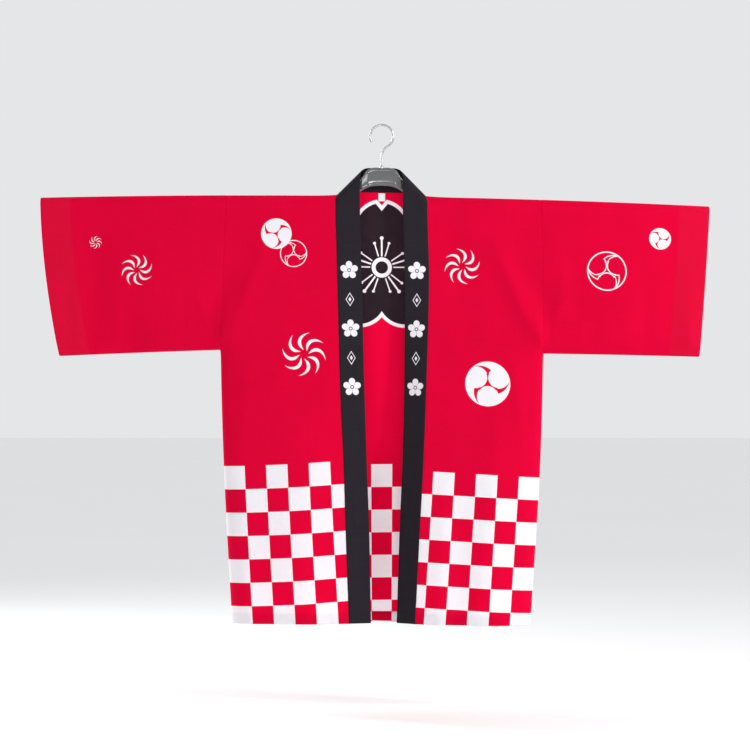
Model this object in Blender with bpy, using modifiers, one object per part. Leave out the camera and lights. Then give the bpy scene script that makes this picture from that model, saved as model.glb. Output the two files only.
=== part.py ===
"""A short wide-sleeved festival coat with a long collar band, hung on a plain arched hanger.

Metres, +Z up. The coat's front faces -Y, and "left" and "right" are as seen from the front.
The origin is the inner top of the hanger's hook, where a rail holds it.
"""

import math
from collections import namedtuple

import bmesh
import bpy

# Heights are worked out from the shoulder line and lowered by this much at the end
HOOK_ABOVE_SHOULDER = 0.135

# Walls and seams
CLOTH_WALL = 0.0014
BAND_WALL = 0.0028
SEAM_GAP = 0.0003
SHOULDER_SEAM_GAP = 0.0010
NECK_SEAM_GAP = 0.0012
UNDERARM_EASE = 0.0008

# The coat: flat sizes, and how the shoulder line lies on the hanger
COAT_LENGTH = 0.8275
UNDERARM_DEPTH = 0.3033
ROLL = 0.013
SHOULDER_TILT = -0.0140
SHOULDER_ARCH = 0.028
HEM_LEVELLING = 0.5
EDGE_ROUND = 0.035
LIP = 0.0010

# How far the panels swell from the hanging plane, and the side seams sway, down at the hem
FRONT_SWELL = 0.023
BACK_SWELL = 0.084
SIDE_SWAY = 0.010
SWELL_START = 0.12
SWELL_POWER = 1.5
SLEEVE_SWELL = 0.005
CUFF_SWELL = 0.007

# The collar band, folded over each shoulder along a line at 45 degrees
BAND_WIDTH = 0.0475
FOLD_REACH = math.sqrt(2) * ROLL * math.pi / 2
FOLD_SHIFT = (math.pi / 2 - 1) * ROLL / math.sqrt(2)
BAND_RISE = (math.pi / 2 - 1) * (1 - 1 / math.sqrt(2)) * ROLL
NECK_PULL_REACH = 0.05
HALVINGS = 30

# Distances from the middle line of a front's edges, down its length
Front = namedtuple("Front", "depth side outer inner")
LEFT_FRONT = (
    Front(0.045, 0.3110, 0.0893, 0.0418),
    Front(0.200, 0.3110, 0.0850, 0.0377),
    Front(0.390, 0.3080, 0.0800, 0.0329),
    Front(0.530, 0.3035, 0.0738, 0.0285),
    Front(0.650, 0.2978, 0.0700, 0.0243),
    Front(0.828, 0.2878, 0.0638, 0.0212),
)
RIGHT_FRONT = (
    Front(0.045, 0.3110, 0.0880, 0.0405),
    Front(0.170, 0.3115, 0.0912, 0.0439),
    Front(0.390, 0.3085, 0.0855, 0.0432),
    Front(0.530, 0.3040, 0.0800, 0.0395),
    Front(0.650, 0.2970, 0.0735, 0.0345),
    Front(0.828, 0.2855, 0.0645, 0.0290),
)

# A sleeve: its armhole, its cuff, how far the cuff's lower corner draws in, and its depth at the cuff
Sleeve = namedtuple("Sleeve", "armhole_top armhole_low cuff draw_in draw_power cuff_depth")
LEFT_SLEEVE = Sleeve(0.2985, 0.3110, 0.6545, 0.036, 1.7, 0.3120)
RIGHT_SLEEVE = Sleeve(0.3050, 0.3110, 0.6286, 0.0195, 1.1, 0.2997)

# A fold is a soft ridge, or a trough where its height is negative, between two points of the cloth
Fold = namedtuple("Fold", "x_top depth_top x_low depth_low width height_top height_low")
FRONT_FOLDS = (
    Fold(0.200, 0.070, 0.300, 0.275, 0.017, 0.0015, 0.0060),
    Fold(0.245, 0.060, 0.330, 0.250, 0.020, -0.0010, -0.0045),
    Fold(-0.205, 0.075, -0.298, 0.275, 0.019, 0.0010, 0.0050),
    Fold(-0.255, 0.080, -0.335, 0.250, 0.022, -0.0010, -0.0040),
    Fold(-0.225, 0.400, -0.215, 0.830, 0.026, -0.0010, -0.0060),
    Fold(-0.150, 0.470, -0.140, 0.830, 0.028, 0.0005, 0.0050),
    Fold(0.225, 0.330, 0.215, 0.830, 0.026, 0.0030, 0.0060),
    Fold(0.160, 0.450, 0.145, 0.830, 0.028, -0.0005, -0.0060),
    Fold(0.562, 0.090, 0.552, 0.290, 0.016, -0.0020, -0.0040),
    Fold(0.460, 0.080, 0.470, 0.290, 0.024, 0.0005, 0.0035),
    Fold(-0.430, 0.070, -0.445, 0.300, 0.026, 0.0005, 0.0040),
    Fold(-0.545, 0.090, -0.560, 0.300, 0.020, -0.0010, -0.0040),
)
BACK_FOLDS = (
    Fold(0.080, 0.250, 0.077, 0.830, 0.026, -0.0010, -0.0095),
    Fold(-0.068, 0.250, -0.085, 0.830, 0.028, -0.0010, -0.0105),
    Fold(0.175, 0.400, 0.195, 0.830, 0.032, 0.0005, 0.0070),
    Fold(-0.180, 0.430, -0.200, 0.830, 0.030, 0.0005, 0.0065),
    Fold(-0.200, 0.090, -0.296, 0.280, 0.019, 0.0010, 0.0055),
    Fold(0.205, 0.090, 0.298, 0.280, 0.019, 0.0010, 0.0050),
    Fold(0.430, 0.080, 0.445, 0.290, 0.024, -0.0005, -0.0035),
    Fold(-0.470, 0.090, -0.480, 0.300, 0.026, 0.0005, 0.0040),
)
FOLD_CLEAR_OF_SHOULDER = 0.03
FOLD_FULL_DEPTH = 0.10
FOLD_FADE = 0.30

# The hanger: its yoke's lower and upper rims out from the middle, then a round arm into each sleeve
Yoke = namedtuple("Yoke", "x lower upper half_depth")
YOKE = (
    Yoke(0.000, 0.0200, 0.0550, 0.0080),
    Yoke(0.018, 0.0185, 0.0545, 0.0080),
    Yoke(0.030, 0.0145, 0.0480, 0.0080),
    Yoke(0.038, 0.0100, 0.0385, 0.0080),
    Yoke(0.048, 0.0020, 0.0280, 0.0080),
    Yoke(0.058, -0.0060, 0.0170, 0.0080),
    Yoke(0.070, -0.0135, 0.0060, 0.0080),
    Yoke(0.085, -0.0195, -0.0035, 0.0080),
    Yoke(0.105, -0.0225, -0.0040, 0.0092),
    Yoke(0.145, -0.0250, -0.0010, 0.0120),
)
ARM_RADIUS = 0.0120
ARM_SHORT_OF_CUFF = 0.045
ARM_POINTS = 12
ARM_END_ANGLES = (30, 60, 80)
WIRE_RADIUS = 0.0022
HOOK_RADIUS = 0.0222
HOOK_LEAN = 60
HOOK_LEAN_POINTS = 4
HOOK_BEND_POINTS = 20
HOOK_END_ANGLE = 205

# The neck label, inside the back, centred under the collar
LABEL_HALF_WIDTH = 0.0065
LABEL_TOP = 0.0030
LABEL_LOW = 0.0155
LABEL_WALL = 0.0010
LABEL_STEPS = 2

# How finely the sheets are cut
ROLL_STEPS = 4
UPPER_STEPS = 6
LOWER_STEPS = 14
ROUND_ANGLES = (25, 45, 65)
FRONT_STEPS = 8
BACK_STEPS = 18
SLEEVE_STEPS = 9
BAND_FRONT_STEPS = 22
BAND_SLANT_START = 0.110
BAND_SLANT_STEPS = 4
BAND_FOLD_STEPS = 8
BAND_BACK_STEPS = 7
BAND_CROSS_STEPS = 3
YOKE_SIDES = 16
YOKE_STEPS_A_ROW = 2

Finish = namedtuple("Finish", "name colour roughness metallic")
RED_CLOTH = Finish("red_cloth", (0.78, 0.01, 0.045), 0.85, 0.0)
BLACK_CLOTH = Finish("black_cloth", (0.02, 0.02, 0.024), 0.8, 0.0)
WHITE_TAPE = Finish("white_tape", (0.85, 0.85, 0.85), 0.7, 0.0)
GREY_PLASTIC = Finish("grey_plastic", (0.13, 0.13, 0.15), 0.25, 0.0)
STEEL_WIRE = Finish("steel_wire", (0.7, 0.7, 0.72), 0.25, 1.0)


def clear_scene():
    """Remove whatever the file opened with."""
    for thing in list(bpy.data.objects):
        bpy.data.objects.remove(thing, do_unlink=True)


def make_material(finish):
    """A plain Principled material for one finish."""
    material = bpy.data.materials.new(finish.name)
    material.use_nodes = True
    shader = material.node_tree.nodes["Principled BSDF"]
    shader.inputs["Base Color"].default_value = (*finish.colour, 1.0)
    shader.inputs["Roughness"].default_value = finish.roughness
    shader.inputs["Metallic"].default_value = finish.metallic
    return material


def mix(a, b, share):
    """The value this share of the way from a to b."""
    return a + (b - a) * share


def ramp(low, high, value):
    """A smooth step from 0 at low to 1 at high."""
    share = min(max((value - low) / (high - low), 0.0), 1.0)
    return share * share * (3 - 2 * share)


def read(table, key, place, column):
    """A column of a table at a place along its key, on a smooth curve through the rows."""
    keys = [getattr(row, key) for row in table]
    values = [getattr(row, column) for row in table]
    if place <= keys[0]:
        return values[0]
    if place >= keys[-1]:
        return values[-1]
    last = len(keys) - 1
    at = max(i for i in range(last) if keys[i] <= place)
    slopes = []
    for i in (at, at + 1):
        before = max(i - 1, 0)
        after = min(i + 1, last)
        slopes.append((values[after] - values[before]) / (keys[after] - keys[before]))
    span = keys[at + 1] - keys[at]
    t = (place - keys[at]) / span
    bend = (2 * t**3 - 3 * t**2 + 1) * values[at] + (3 * t**2 - 2 * t**3) * values[at + 1]
    lean = (t**3 - 2 * t**2 + t) * slopes[0] + (t**3 - t**2) * slopes[1]
    return bend + span * lean


def shoulder(x, depth=0.0):
    """Height of the shoulder line over the hanger, which the rows below it follow less and less."""
    return (SHOULDER_TILT * x - SHOULDER_ARCH * x * x) * (1 - HEM_LEVELLING * depth / COAT_LENGTH)


def front_table(side):
    """The table of the front on this side, -1 for the left and +1 for the right."""
    return LEFT_FRONT if side < 0 else RIGHT_FRONT


def sleeve_row(side):
    """The sizes of the sleeve on this side."""
    return LEFT_SLEEVE if side < 0 else RIGHT_SLEEVE


def side_edge(side, depth):
    """Distance from the middle line to the armhole seam, and below it to the side seam."""
    if depth >= UNDERARM_DEPTH:
        return read(front_table(side), "depth", depth, "side")
    sleeve = sleeve_row(side)
    return mix(sleeve.armhole_top, sleeve.armhole_low, depth / UNDERARM_DEPTH)


def over_roll(depth):
    """Half the cloth's separation, and its drop below the shoulder line, this far down from the line."""
    turn = min(depth / ROLL, math.pi / 2)
    drop = ROLL * (1 - math.cos(turn)) + max(0.0, depth - ROLL * math.pi / 2)
    return ROLL * math.sin(turn), drop


def round_share(distance):
    """Share of the full separation this far in from an edge where front and back meet."""
    inward = min(distance / EDGE_ROUND, 1.0)
    return math.sqrt(1 - (1 - inward) ** 2)


def fold_height(folds, x, depth):
    """Height of all the folds at a point of the cloth."""
    total = 0.0
    for fold in folds:
        run_x = fold.x_low - fold.x_top
        run_depth = fold.depth_low - fold.depth_top
        length = math.hypot(run_x, run_depth)
        along = ((x - fold.x_top) * run_x + (depth - fold.depth_top) * run_depth) / length
        across = ((x - fold.x_top) * run_depth - (depth - fold.depth_top) * run_x) / length
        share = along / length
        fade_low = 1.0 if fold.depth_low > COAT_LENGTH else 1 - ramp(1 - FOLD_FADE, 1 + FOLD_FADE, share)
        fade = ramp(-FOLD_FADE / 2, FOLD_FADE, share) * fade_low
        height = mix(fold.height_top, fold.height_low, min(max(share, 0.0), 1.0))
        total += height * fade * math.exp(-((across / fold.width) ** 2))
    return total * ramp(FOLD_CLEAR_OF_SHOULDER, FOLD_FULL_DEPTH, depth)


def swell_share(depth):
    """Share of the full swell at the hem that a panel has at this depth."""
    return max(0.0, (depth - SWELL_START) / (COAT_LENGTH - SWELL_START)) ** SWELL_POWER


def side_sway(depth):
    """How far back the side seam lies at this depth."""
    return SIDE_SWAY * swell_share(depth)


def body_edge_distance(inset, depth):
    """Distance within the body from the nearest edge where front and back meet."""
    if depth >= UNDERARM_DEPTH:
        return inset
    return math.hypot(inset, UNDERARM_DEPTH - depth)


def neck_edge(side, depth):
    """The collar band's sewn edge on the front, from the top of the shoulder down: (x, y, z)."""
    outer = read(front_table(side), "depth", depth, "outer")
    turn = -min(depth / (math.sqrt(2) * ROLL), math.pi / 2)
    x = side * (outer - FOLD_SHIFT - ROLL * (turn + 1 - math.cos(turn)) / math.sqrt(2))
    z = shoulder(x, depth) + BAND_RISE
    z += ROLL * (turn - 1 + math.cos(turn)) / math.sqrt(2) - max(0.0, depth - FOLD_REACH)
    return x, ROLL * math.sin(turn), z


def band_gap(side, depth):
    """The gap between a front panel and the band, wider where the band turns away from the panel."""
    table = front_table(side)
    chord = read(table, "depth", depth, "outer") - read(table, "depth", depth, "inner")
    lean = math.sqrt(max(0.0, BAND_WIDTH**2 - chord**2)) / chord
    at_neck = (NECK_SEAM_GAP - SEAM_GAP) * (1 - ramp(0.0, FOLD_REACH, depth))
    return SEAM_GAP + at_neck + lean * CLOTH_WALL / 2


def front_surface(side, inset, share, depth):
    """A point of a front panel: inset from the side seam, then a share of the way to the band."""
    edge = side_edge(side, depth)
    outer = read(front_table(side), "depth", depth, "outer")
    span = edge - EDGE_ROUND - outer
    x = edge - inset - share * span
    half, drop = over_roll(depth)
    across = (inset + share * span) / (edge - outer)
    raised = FRONT_SWELL * swell_share(depth) * math.sin(math.pi * across)
    raised += fold_height(FRONT_FOLDS, side * x, depth)
    sway = side_sway(depth)
    level = round_share(body_edge_distance(inset + share * span, depth))
    edge_sway = sway * (1 - across)
    y = edge_sway - (half + raised + edge_sway) * level
    z = shoulder(side * x, depth) - drop
    pull = max(0.0, 1 - (x - outer) / NECK_PULL_REACH) ** 2
    edge_x, edge_y, edge_z = neck_edge(side, depth)
    edge_half, edge_drop = over_roll(depth)
    x = side * x + pull * (edge_x - side * outer)
    y += pull * (edge_y + edge_half)
    z += pull * (edge_z - shoulder(side * outer, depth) + edge_drop)
    return x, y, z


def fold_turn(side, distance):
    """Angle round the roll at which the back neckline starts, this far from the middle line."""
    crest = front_table(side)[0].outer - FOLD_SHIFT
    if distance >= crest:
        return 0.0
    low = 0.0
    high = math.pi / 2
    for _ in range(HALVINGS):
        middle = (low + high) / 2
        if crest - ROLL * (middle + 1 - math.cos(middle)) / math.sqrt(2) > distance:
            low = middle
        else:
            high = middle
    return (low + high) / 2


def back_surface(x, inset, depth):
    """A point of the back, at a distance from the middle line that its inset from the side has set."""
    side = -1 if x < 0 else 1
    edge = side_edge(side, depth)
    distance = abs(x)
    crest = front_table(side)[0].outer - FOLD_SHIFT
    turn = fold_turn(side, distance)
    start = shoulder(x, depth)
    near = max(0.0, 1 - max(0.0, distance - crest) / NECK_PULL_REACH) ** 2
    start += near * BAND_RISE * max(0.0, 1 - depth / NECK_PULL_REACH) ** 2
    start += (0.0 if turn == 0.0 else ROLL * (turn - 1 + math.cos(turn)) / math.sqrt(2))
    reached = min(turn + depth / ROLL, math.pi / 2)
    half = ROLL * math.sin(reached)
    drop = ROLL * (math.cos(turn) - math.cos(reached))
    drop += max(0.0, depth - ROLL * (math.pi / 2 - turn))
    swell = BACK_SWELL * swell_share(depth) * math.cos(math.pi / 2 * min(distance / edge, 1.0))
    raised = swell + fold_height(BACK_FOLDS, x, depth)
    sway = side_sway(depth)
    level = round_share(body_edge_distance(inset, depth))
    y = sway + (half - sway + raised) * level
    return x, y, start - drop


def cuff_distance(sleeve, share_down):
    """Distance of the cuff's edge from the middle line, a share of the way down it."""
    return sleeve.cuff - sleeve.draw_in * share_down**sleeve.draw_power


def sleeve_surface(side, face, share_out, share_down):
    """A point of a sleeve: face -1 in front and +1 behind, out to the cuff and down to the underarm fold."""
    sleeve = sleeve_row(side)
    low = mix(UNDERARM_DEPTH, sleeve.cuff_depth, share_out)
    depth = share_down * low
    inner = side_edge(side, min(share_down * UNDERARM_DEPTH, UNDERARM_DEPTH - 1e-6))
    level = round_share(low - depth)
    inner += SEAM_GAP + UNDERARM_EASE * (1 - level)
    x = side * mix(inner, cuff_distance(sleeve, share_down), share_out)
    half, drop = over_roll(depth)
    belly = math.sin(math.pi * share_down)
    raised = (SLEEVE_SWELL * math.sin(math.pi * share_out) + CUFF_SWELL * share_out**2) * belly
    folds = FRONT_FOLDS if face < 0 else BACK_FOLDS
    raised += fold_height(folds, x, depth)
    return x, face * (half + raised) * level, shoulder(x, depth) - drop


def roll_depths():
    """Depths of the rows that go over the hanger's arm."""
    quarter = ROLL * math.pi / 2
    return [quarter * step / ROLL_STEPS for step in range(ROLL_STEPS)]


def upper_depths(low):
    """Depths of the rows from the shoulder line down to an underarm at the depth given."""
    quarter = ROLL * math.pi / 2
    flat = [mix(quarter, low - EDGE_ROUND, step / UPPER_STEPS) for step in range(UPPER_STEPS + 1)]
    turned = [low - EDGE_ROUND * (1 - math.cos(math.radians(a))) for a in reversed(ROUND_ANGLES)]
    return roll_depths() + flat + turned + [low]


def body_depths():
    """Depths of all the rows of a body panel."""
    upper = upper_depths(UNDERARM_DEPTH)
    lower = [mix(UNDERARM_DEPTH, COAT_LENGTH, (i + 1) / LOWER_STEPS) for i in range(LOWER_STEPS)]
    return upper + lower


def round_insets():
    """Insets of the columns in the rounded side of a body panel, after the seam's own lip."""
    return [EDGE_ROUND * (1 - math.cos(math.radians(a))) for a in ROUND_ANGLES]


def make_net(rows, columns, place, closed=False):
    """A grid whose points are placed one by one, joined into a tube where its first and last columns meet."""
    net = bmesh.new()
    bmesh.ops.create_grid(net, x_segments=columns - 1, y_segments=rows - 1, size=0.5)
    for vert in net.verts:
        column = round((vert.co.x + 0.5) * (columns - 1))
        row = round((vert.co.y + 0.5) * (rows - 1))
        x, y, z = place(row, column)
        vert.co = (x, y, z - HOOK_ABOVE_SHOULDER)
    if closed:
        bmesh.ops.remove_doubles(net, verts=net.verts, dist=1e-6)
    return net


def add_sheet(name, rows, columns, place, wall, finish, collection, closed=False):
    """A cloth sheet with its wall raised on both sides of its points."""
    net = make_net(rows, columns, place, closed)
    return add_object(name, net, finish, collection, wall)


def add_object(name, net, finish, collection, wall=None):
    """An object from a bmesh, shaded smooth, with a wall if one is given."""
    mesh = bpy.data.meshes.new(name)
    net.to_mesh(mesh)
    net.free()
    mesh.materials.append(make_material(finish))
    mesh.shade_smooth()
    thing = bpy.data.objects.new(name, mesh)
    collection.objects.link(thing)
    if wall is not None:
        solidify = thing.modifiers.new("wall", "SOLIDIFY")
        solidify.thickness = wall
        solidify.offset = 0.0
        solidify.use_even_offset = True
    return thing


def lip_place(point, face, depth, sway):
    """The first two columns of a body panel below the underarm, which face the other panel's edge."""
    x, _, z = point
    return x, sway + face * depth, z


def add_front(name, side, collection):
    """One front panel, from its side seam to the collar band and from the shoulder to the hem."""
    depths = body_depths()
    insets = [0.0, 0.0] + round_insets()
    shares = [step / FRONT_STEPS for step in range(FRONT_STEPS + 1)]
    columns = len(insets) + len(shares)

    def place(row, column):
        depth = depths[row]
        below = depth >= UNDERARM_DEPTH
        if row == 0:
            depth = SHOULDER_SEAM_GAP / 2
        if column < 2:
            inset = 0.0 if below or column == 0 else LIP
            point = front_surface(side, inset, 0.0, depth)
            if below:
                return lip_place(point, -1, (SEAM_GAP / 2, LIP)[column], side_sway(depth))
            return point
        if column < len(insets):
            return front_surface(side, insets[column], 0.0, depth)
        share = shares[column - len(insets)]
        x, y, z = front_surface(side, EDGE_ROUND, share, depth)
        if share == 1.0:
            x += side * band_gap(side, depth)
        return x, y, z

    return add_sheet(name, len(depths), columns, place, CLOTH_WALL, RED_CLOTH, collection)


def add_back(name, collection):
    """The back panel, with the neckline that the collar band is sewn to."""
    depths = body_depths()
    rounds = list(enumerate([0.0, 0.0] + round_insets()))
    left = [(-1, index, inset) for index, inset in rounds]
    right = [(1, index, inset) for index, inset in reversed(rounds)]
    shares = [-1 + 2 * step / BACK_STEPS for step in range(BACK_STEPS + 1)]
    count = len(left) + len(shares) + len(right)
    neck_run = ROLL * (math.pi / 2 + 1) / math.sqrt(2)

    def top_depth(side, x):
        """How far the panel's top edge stays below the shoulder line or the band's edge."""
        crest = front_table(side)[0].outer - FOLD_SHIFT
        if abs(x) > crest:
            return SHOULDER_SEAM_GAP / 2
        return SEAM_GAP + (NECK_SEAM_GAP - SEAM_GAP) * ramp(crest - neck_run, crest, abs(x))

    def place_edge(side, index, inset, depth):
        """A point in one of the two rounded sides, where the first two columns are the seam's lip."""
        below = depth >= UNDERARM_DEPTH
        if index == 1 and not below:
            inset = LIP
        x = side * (side_edge(side, depth) - inset)
        point = back_surface(x, inset, max(depth, top_depth(side, x)))
        if below and index < 2:
            return lip_place(point, 1, (SEAM_GAP / 2, LIP)[index], side_sway(depth))
        return point

    def place(row, column):
        depth = depths[row]
        if column < len(left):
            return place_edge(*left[column], depth)
        if column >= len(left) + len(shares):
            return place_edge(*right[column - len(left) - len(shares)], depth)
        share = shares[column - len(left)]
        side = -1 if share < 0 else 1
        edge = side_edge(side, depth)
        x = share * (edge - EDGE_ROUND)
        return back_surface(x, edge - abs(x), max(depth, top_depth(side, x)))

    return add_sheet(name, len(depths), count, place, CLOTH_WALL, RED_CLOTH, collection)


def add_sleeve(name, side, collection):
    """One sleeve: a flat tube that hangs from the hanger's arm, open at the armhole and the cuff."""
    shares = [depth / UNDERARM_DEPTH for depth in upper_depths(UNDERARM_DEPTH)]
    ring = [(-1, share) for share in reversed(shares)] + [(1, share) for share in shares[1:]]

    def place(row, column):
        face, share = ring[column]
        return sleeve_surface(side, face, row / SLEEVE_STEPS, share)

    return add_sheet(
        name, SLEEVE_STEPS + 1, len(ring), place, CLOTH_WALL, RED_CLOTH, collection, closed=True
    )


def band_front_point(side, across, depth):
    """A point of the band on a front, below the fold: across is 0 at its seam and 1 at its free edge."""
    table = front_table(side)
    outer = read(table, "depth", depth, "outer")
    inner = read(table, "depth", depth, "inner")
    chord = outer - inner
    curl = math.sqrt(max(0.0, BAND_WIDTH**2 - chord**2))
    x = side * (outer - across * chord)
    edge_x, y, z = neck_edge(side, depth)
    y -= fold_height(FRONT_FOLDS, x, depth)
    return x, y + across * curl, z + shoulder(x, depth) - shoulder(edge_x, depth)


def band_fold_point(side, across, run):
    """A point of the band where it folds over the shoulder: run is the way along it from the fold's line."""
    q = across * BAND_WIDTH
    crest = front_table(side)[0].outer - FOLD_SHIFT
    from_fold = (run - q) / math.sqrt(2)
    along = (run + q) / math.sqrt(2)
    quarter = ROLL * math.pi / 2
    turn = min(max(from_fold / ROLL, -math.pi / 2), math.pi / 2)
    inward = ROLL * (1 - math.cos(turn)) + max(0.0, abs(from_fold) - quarter)
    x = side * (crest - (along + inward) / math.sqrt(2))
    z = shoulder(x) + BAND_RISE + (along - inward) / math.sqrt(2)
    return x, ROLL * math.sin(turn), z


def band_point(side, across, run):
    """A point of the band: across from its seam, and along it, where less than 0 is down the front."""
    if run < -LEFT_FRONT[0].depth:
        return band_front_point(side, across, -run)
    return band_fold_point(side, across, run)


def half_band_rows():
    """Rows of half the band, hem to back neck: where each starts at the seam, and its slant."""
    rows = []
    for step in range(BAND_FRONT_STEPS):
        rows.append((mix(-COAT_LENGTH, -BAND_SLANT_START, step / BAND_FRONT_STEPS), 0.0))
    for step in range(BAND_SLANT_STEPS):
        share = step / BAND_SLANT_STEPS
        rows.append((mix(-BAND_SLANT_START, -FOLD_REACH, share), share))
    for step in range(BAND_FOLD_STEPS + 1):
        rows.append((mix(-FOLD_REACH, FOLD_REACH, step / BAND_FOLD_STEPS), 1.0))
    return rows


def add_collar(name, collection):
    """The collar band: up one front, over the shoulder, round the back neck and down the other front."""
    half = half_band_rows()
    bridge = [(step + 1) / (BAND_BACK_STEPS + 1) for step in range(BAND_BACK_STEPS)]
    count = 2 * len(half) + len(bridge)

    def row_point(side, index, across):
        start, slant = half[index]
        return band_point(side, across, start + slant * across * BAND_WIDTH)

    def place(row, column):
        across = column / BAND_CROSS_STEPS
        if row < len(half):
            return row_point(-1, row, across)
        if row >= len(half) + len(bridge):
            return row_point(1, count - 1 - row, across)
        left = row_point(-1, len(half) - 1, across)
        right = row_point(1, len(half) - 1, across)
        share = bridge[row - len(half)]
        return tuple(mix(a, b, share) for a, b in zip(left, right))

    return add_sheet(name, count, BAND_CROSS_STEPS + 1, place, BAND_WALL, BLACK_CLOTH, collection)


def add_label(name, collection):
    """The blank neck label, on the inside of the back just under the collar."""
    inward = CLOTH_WALL / 2 + SEAM_GAP + LABEL_WALL / 2

    def place(row, column):
        x = mix(-LABEL_HALF_WIDTH, LABEL_HALF_WIDTH, column / LABEL_STEPS)
        depth = mix(LABEL_TOP, LABEL_LOW, row / LABEL_STEPS)
        x, y, z = back_surface(x, side_edge(1, depth), depth)
        return x, y - inward, z

    steps = LABEL_STEPS + 1
    return add_sheet(name, steps, steps, place, LABEL_WALL, WHITE_TAPE, collection)


def add_yoke(name, collection):
    """The hanger's neck: a solid plate that fills the collar's top and thins down to the arms."""
    places = []
    for row, after in zip(YOKE, YOKE[1:]):
        for step in range(YOKE_STEPS_A_ROW):
            places.append(mix(row.x, after.x, step / YOKE_STEPS_A_ROW))
    places.append(YOKE[-1].x)
    stations = [-x for x in reversed(places[1:])] + places

    def place(row, column):
        x = stations[row]
        lower = read(YOKE, "x", abs(x), "lower")
        upper = read(YOKE, "x", abs(x), "upper")
        deep = read(YOKE, "x", abs(x), "half_depth")
        turn = 2 * math.pi * (column % YOKE_SIDES) / YOKE_SIDES
        z = shoulder(x) + mix(lower, upper, 0.5 + 0.5 * math.cos(turn))
        return x, deep * math.sin(turn), z

    net = make_net(len(stations), YOKE_SIDES + 1, place, closed=True)
    bmesh.ops.holes_fill(net, edges=[edge for edge in net.edges if edge.is_boundary])
    bmesh.ops.recalc_face_normals(net, faces=net.faces)
    return add_object(name, net, GREY_PLASTIC, collection)


def add_tube(name, points, radii, radius, sides_level, finish, collection):
    """A round rod along a line of points, closed at both ends."""
    curve = bpy.data.curves.new(name, "CURVE")
    curve.dimensions = "3D"
    curve.bevel_depth = radius
    curve.bevel_resolution = sides_level
    curve.use_fill_caps = True
    spline = curve.splines.new("POLY")
    spline.points.add(len(points) - 1)
    for point, (x, y, z), share in zip(spline.points, points, radii):
        point.co = (x, y, z - HOOK_ABOVE_SHOULDER, 1.0)
        point.radius = share
    curve.materials.append(make_material(finish))
    rod = bpy.data.objects.new(name, curve)
    collection.objects.link(rod)
    return rod


def add_arm(name, side, collection):
    """One arm of the hanger, level through the shoulder and the sleeve, with a rounded end."""
    start = YOKE[-1].x + SEAM_GAP
    end = sleeve_row(side).cuff - ARM_SHORT_OF_CUFF
    places = [mix(start, end - ARM_RADIUS, step / ARM_POINTS) for step in range(ARM_POINTS + 1)]
    radii = [1.0] * len(places)
    for angle in ARM_END_ANGLES:
        places.append(end - ARM_RADIUS * (1 - math.sin(math.radians(angle))))
        radii.append(math.cos(math.radians(angle)))
    points = [(side * x, 0.0, shoulder(side * x) - ROLL) for x in places]
    return add_tube(name, points, radii, ARM_RADIUS, 3, GREY_PLASTIC, collection)


def add_hook(name, collection):
    """The hanger's wire hook: a stem, a bend to one side, and a round over the rail with a free tip."""
    centre = HOOK_ABOVE_SHOULDER - HOOK_RADIUS + WIRE_RADIUS
    lean = math.radians(HOOK_LEAN)
    stem_top = centre - 2 * HOOK_RADIUS * math.sin(lean)
    points = [(0.0, 0.0, YOKE[0].upper + SEAM_GAP)]
    for step in range(HOOK_LEAN_POINTS):
        angle = math.pi - lean * step / HOOK_LEAN_POINTS
        points.append((HOOK_RADIUS * (1 + math.cos(angle)), 0.0, stem_top + HOOK_RADIUS * math.sin(angle)))
    for step in range(HOOK_BEND_POINTS + 1):
        angle = mix(-lean, math.radians(HOOK_END_ANGLE), step / HOOK_BEND_POINTS)
        points.append((HOOK_RADIUS * math.cos(angle), 0.0, centre + HOOK_RADIUS * math.sin(angle)))
    radii = [1.0] * len(points)
    return add_tube(name, points, radii, WIRE_RADIUS, 2, STEEL_WIRE, collection)


def main():
    clear_scene()
    collection = bpy.data.collections.new("festival_coat_on_hanger")
    bpy.context.scene.collection.children.link(collection)
    add_back("back", collection)
    add_front("front_left", -1, collection)
    add_front("front_right", 1, collection)
    add_sleeve("sleeve_left", -1, collection)
    add_sleeve("sleeve_right", 1, collection)
    add_collar("collar", collection)
    add_label("neck_label", collection)
    add_yoke("hanger_yoke", collection)
    add_arm("hanger_arm_left", -1, collection)
    add_arm("hanger_arm_right", 1, collection)
    add_hook("hanger_hook", collection)


main()
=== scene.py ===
"""Looks of a short wide-sleeved festival coat with a long collar band, hung on a plain arched hanger.

Metres, +Z up. The coat's front faces -Y, and left and right are as seen from the front. The origin is the
inner top of the hanger's hook. Every panel is a net of its flat cut, laid over the hanger's arm and let
hang, from the same sizes as the solid that it stands for.
"""

import logging
import math
from abc import ABC, abstractmethod
from collections.abc import Callable, Sequence
from dataclasses import dataclass, field
from enum import Enum
from functools import reduce
from itertools import pairwise

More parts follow.
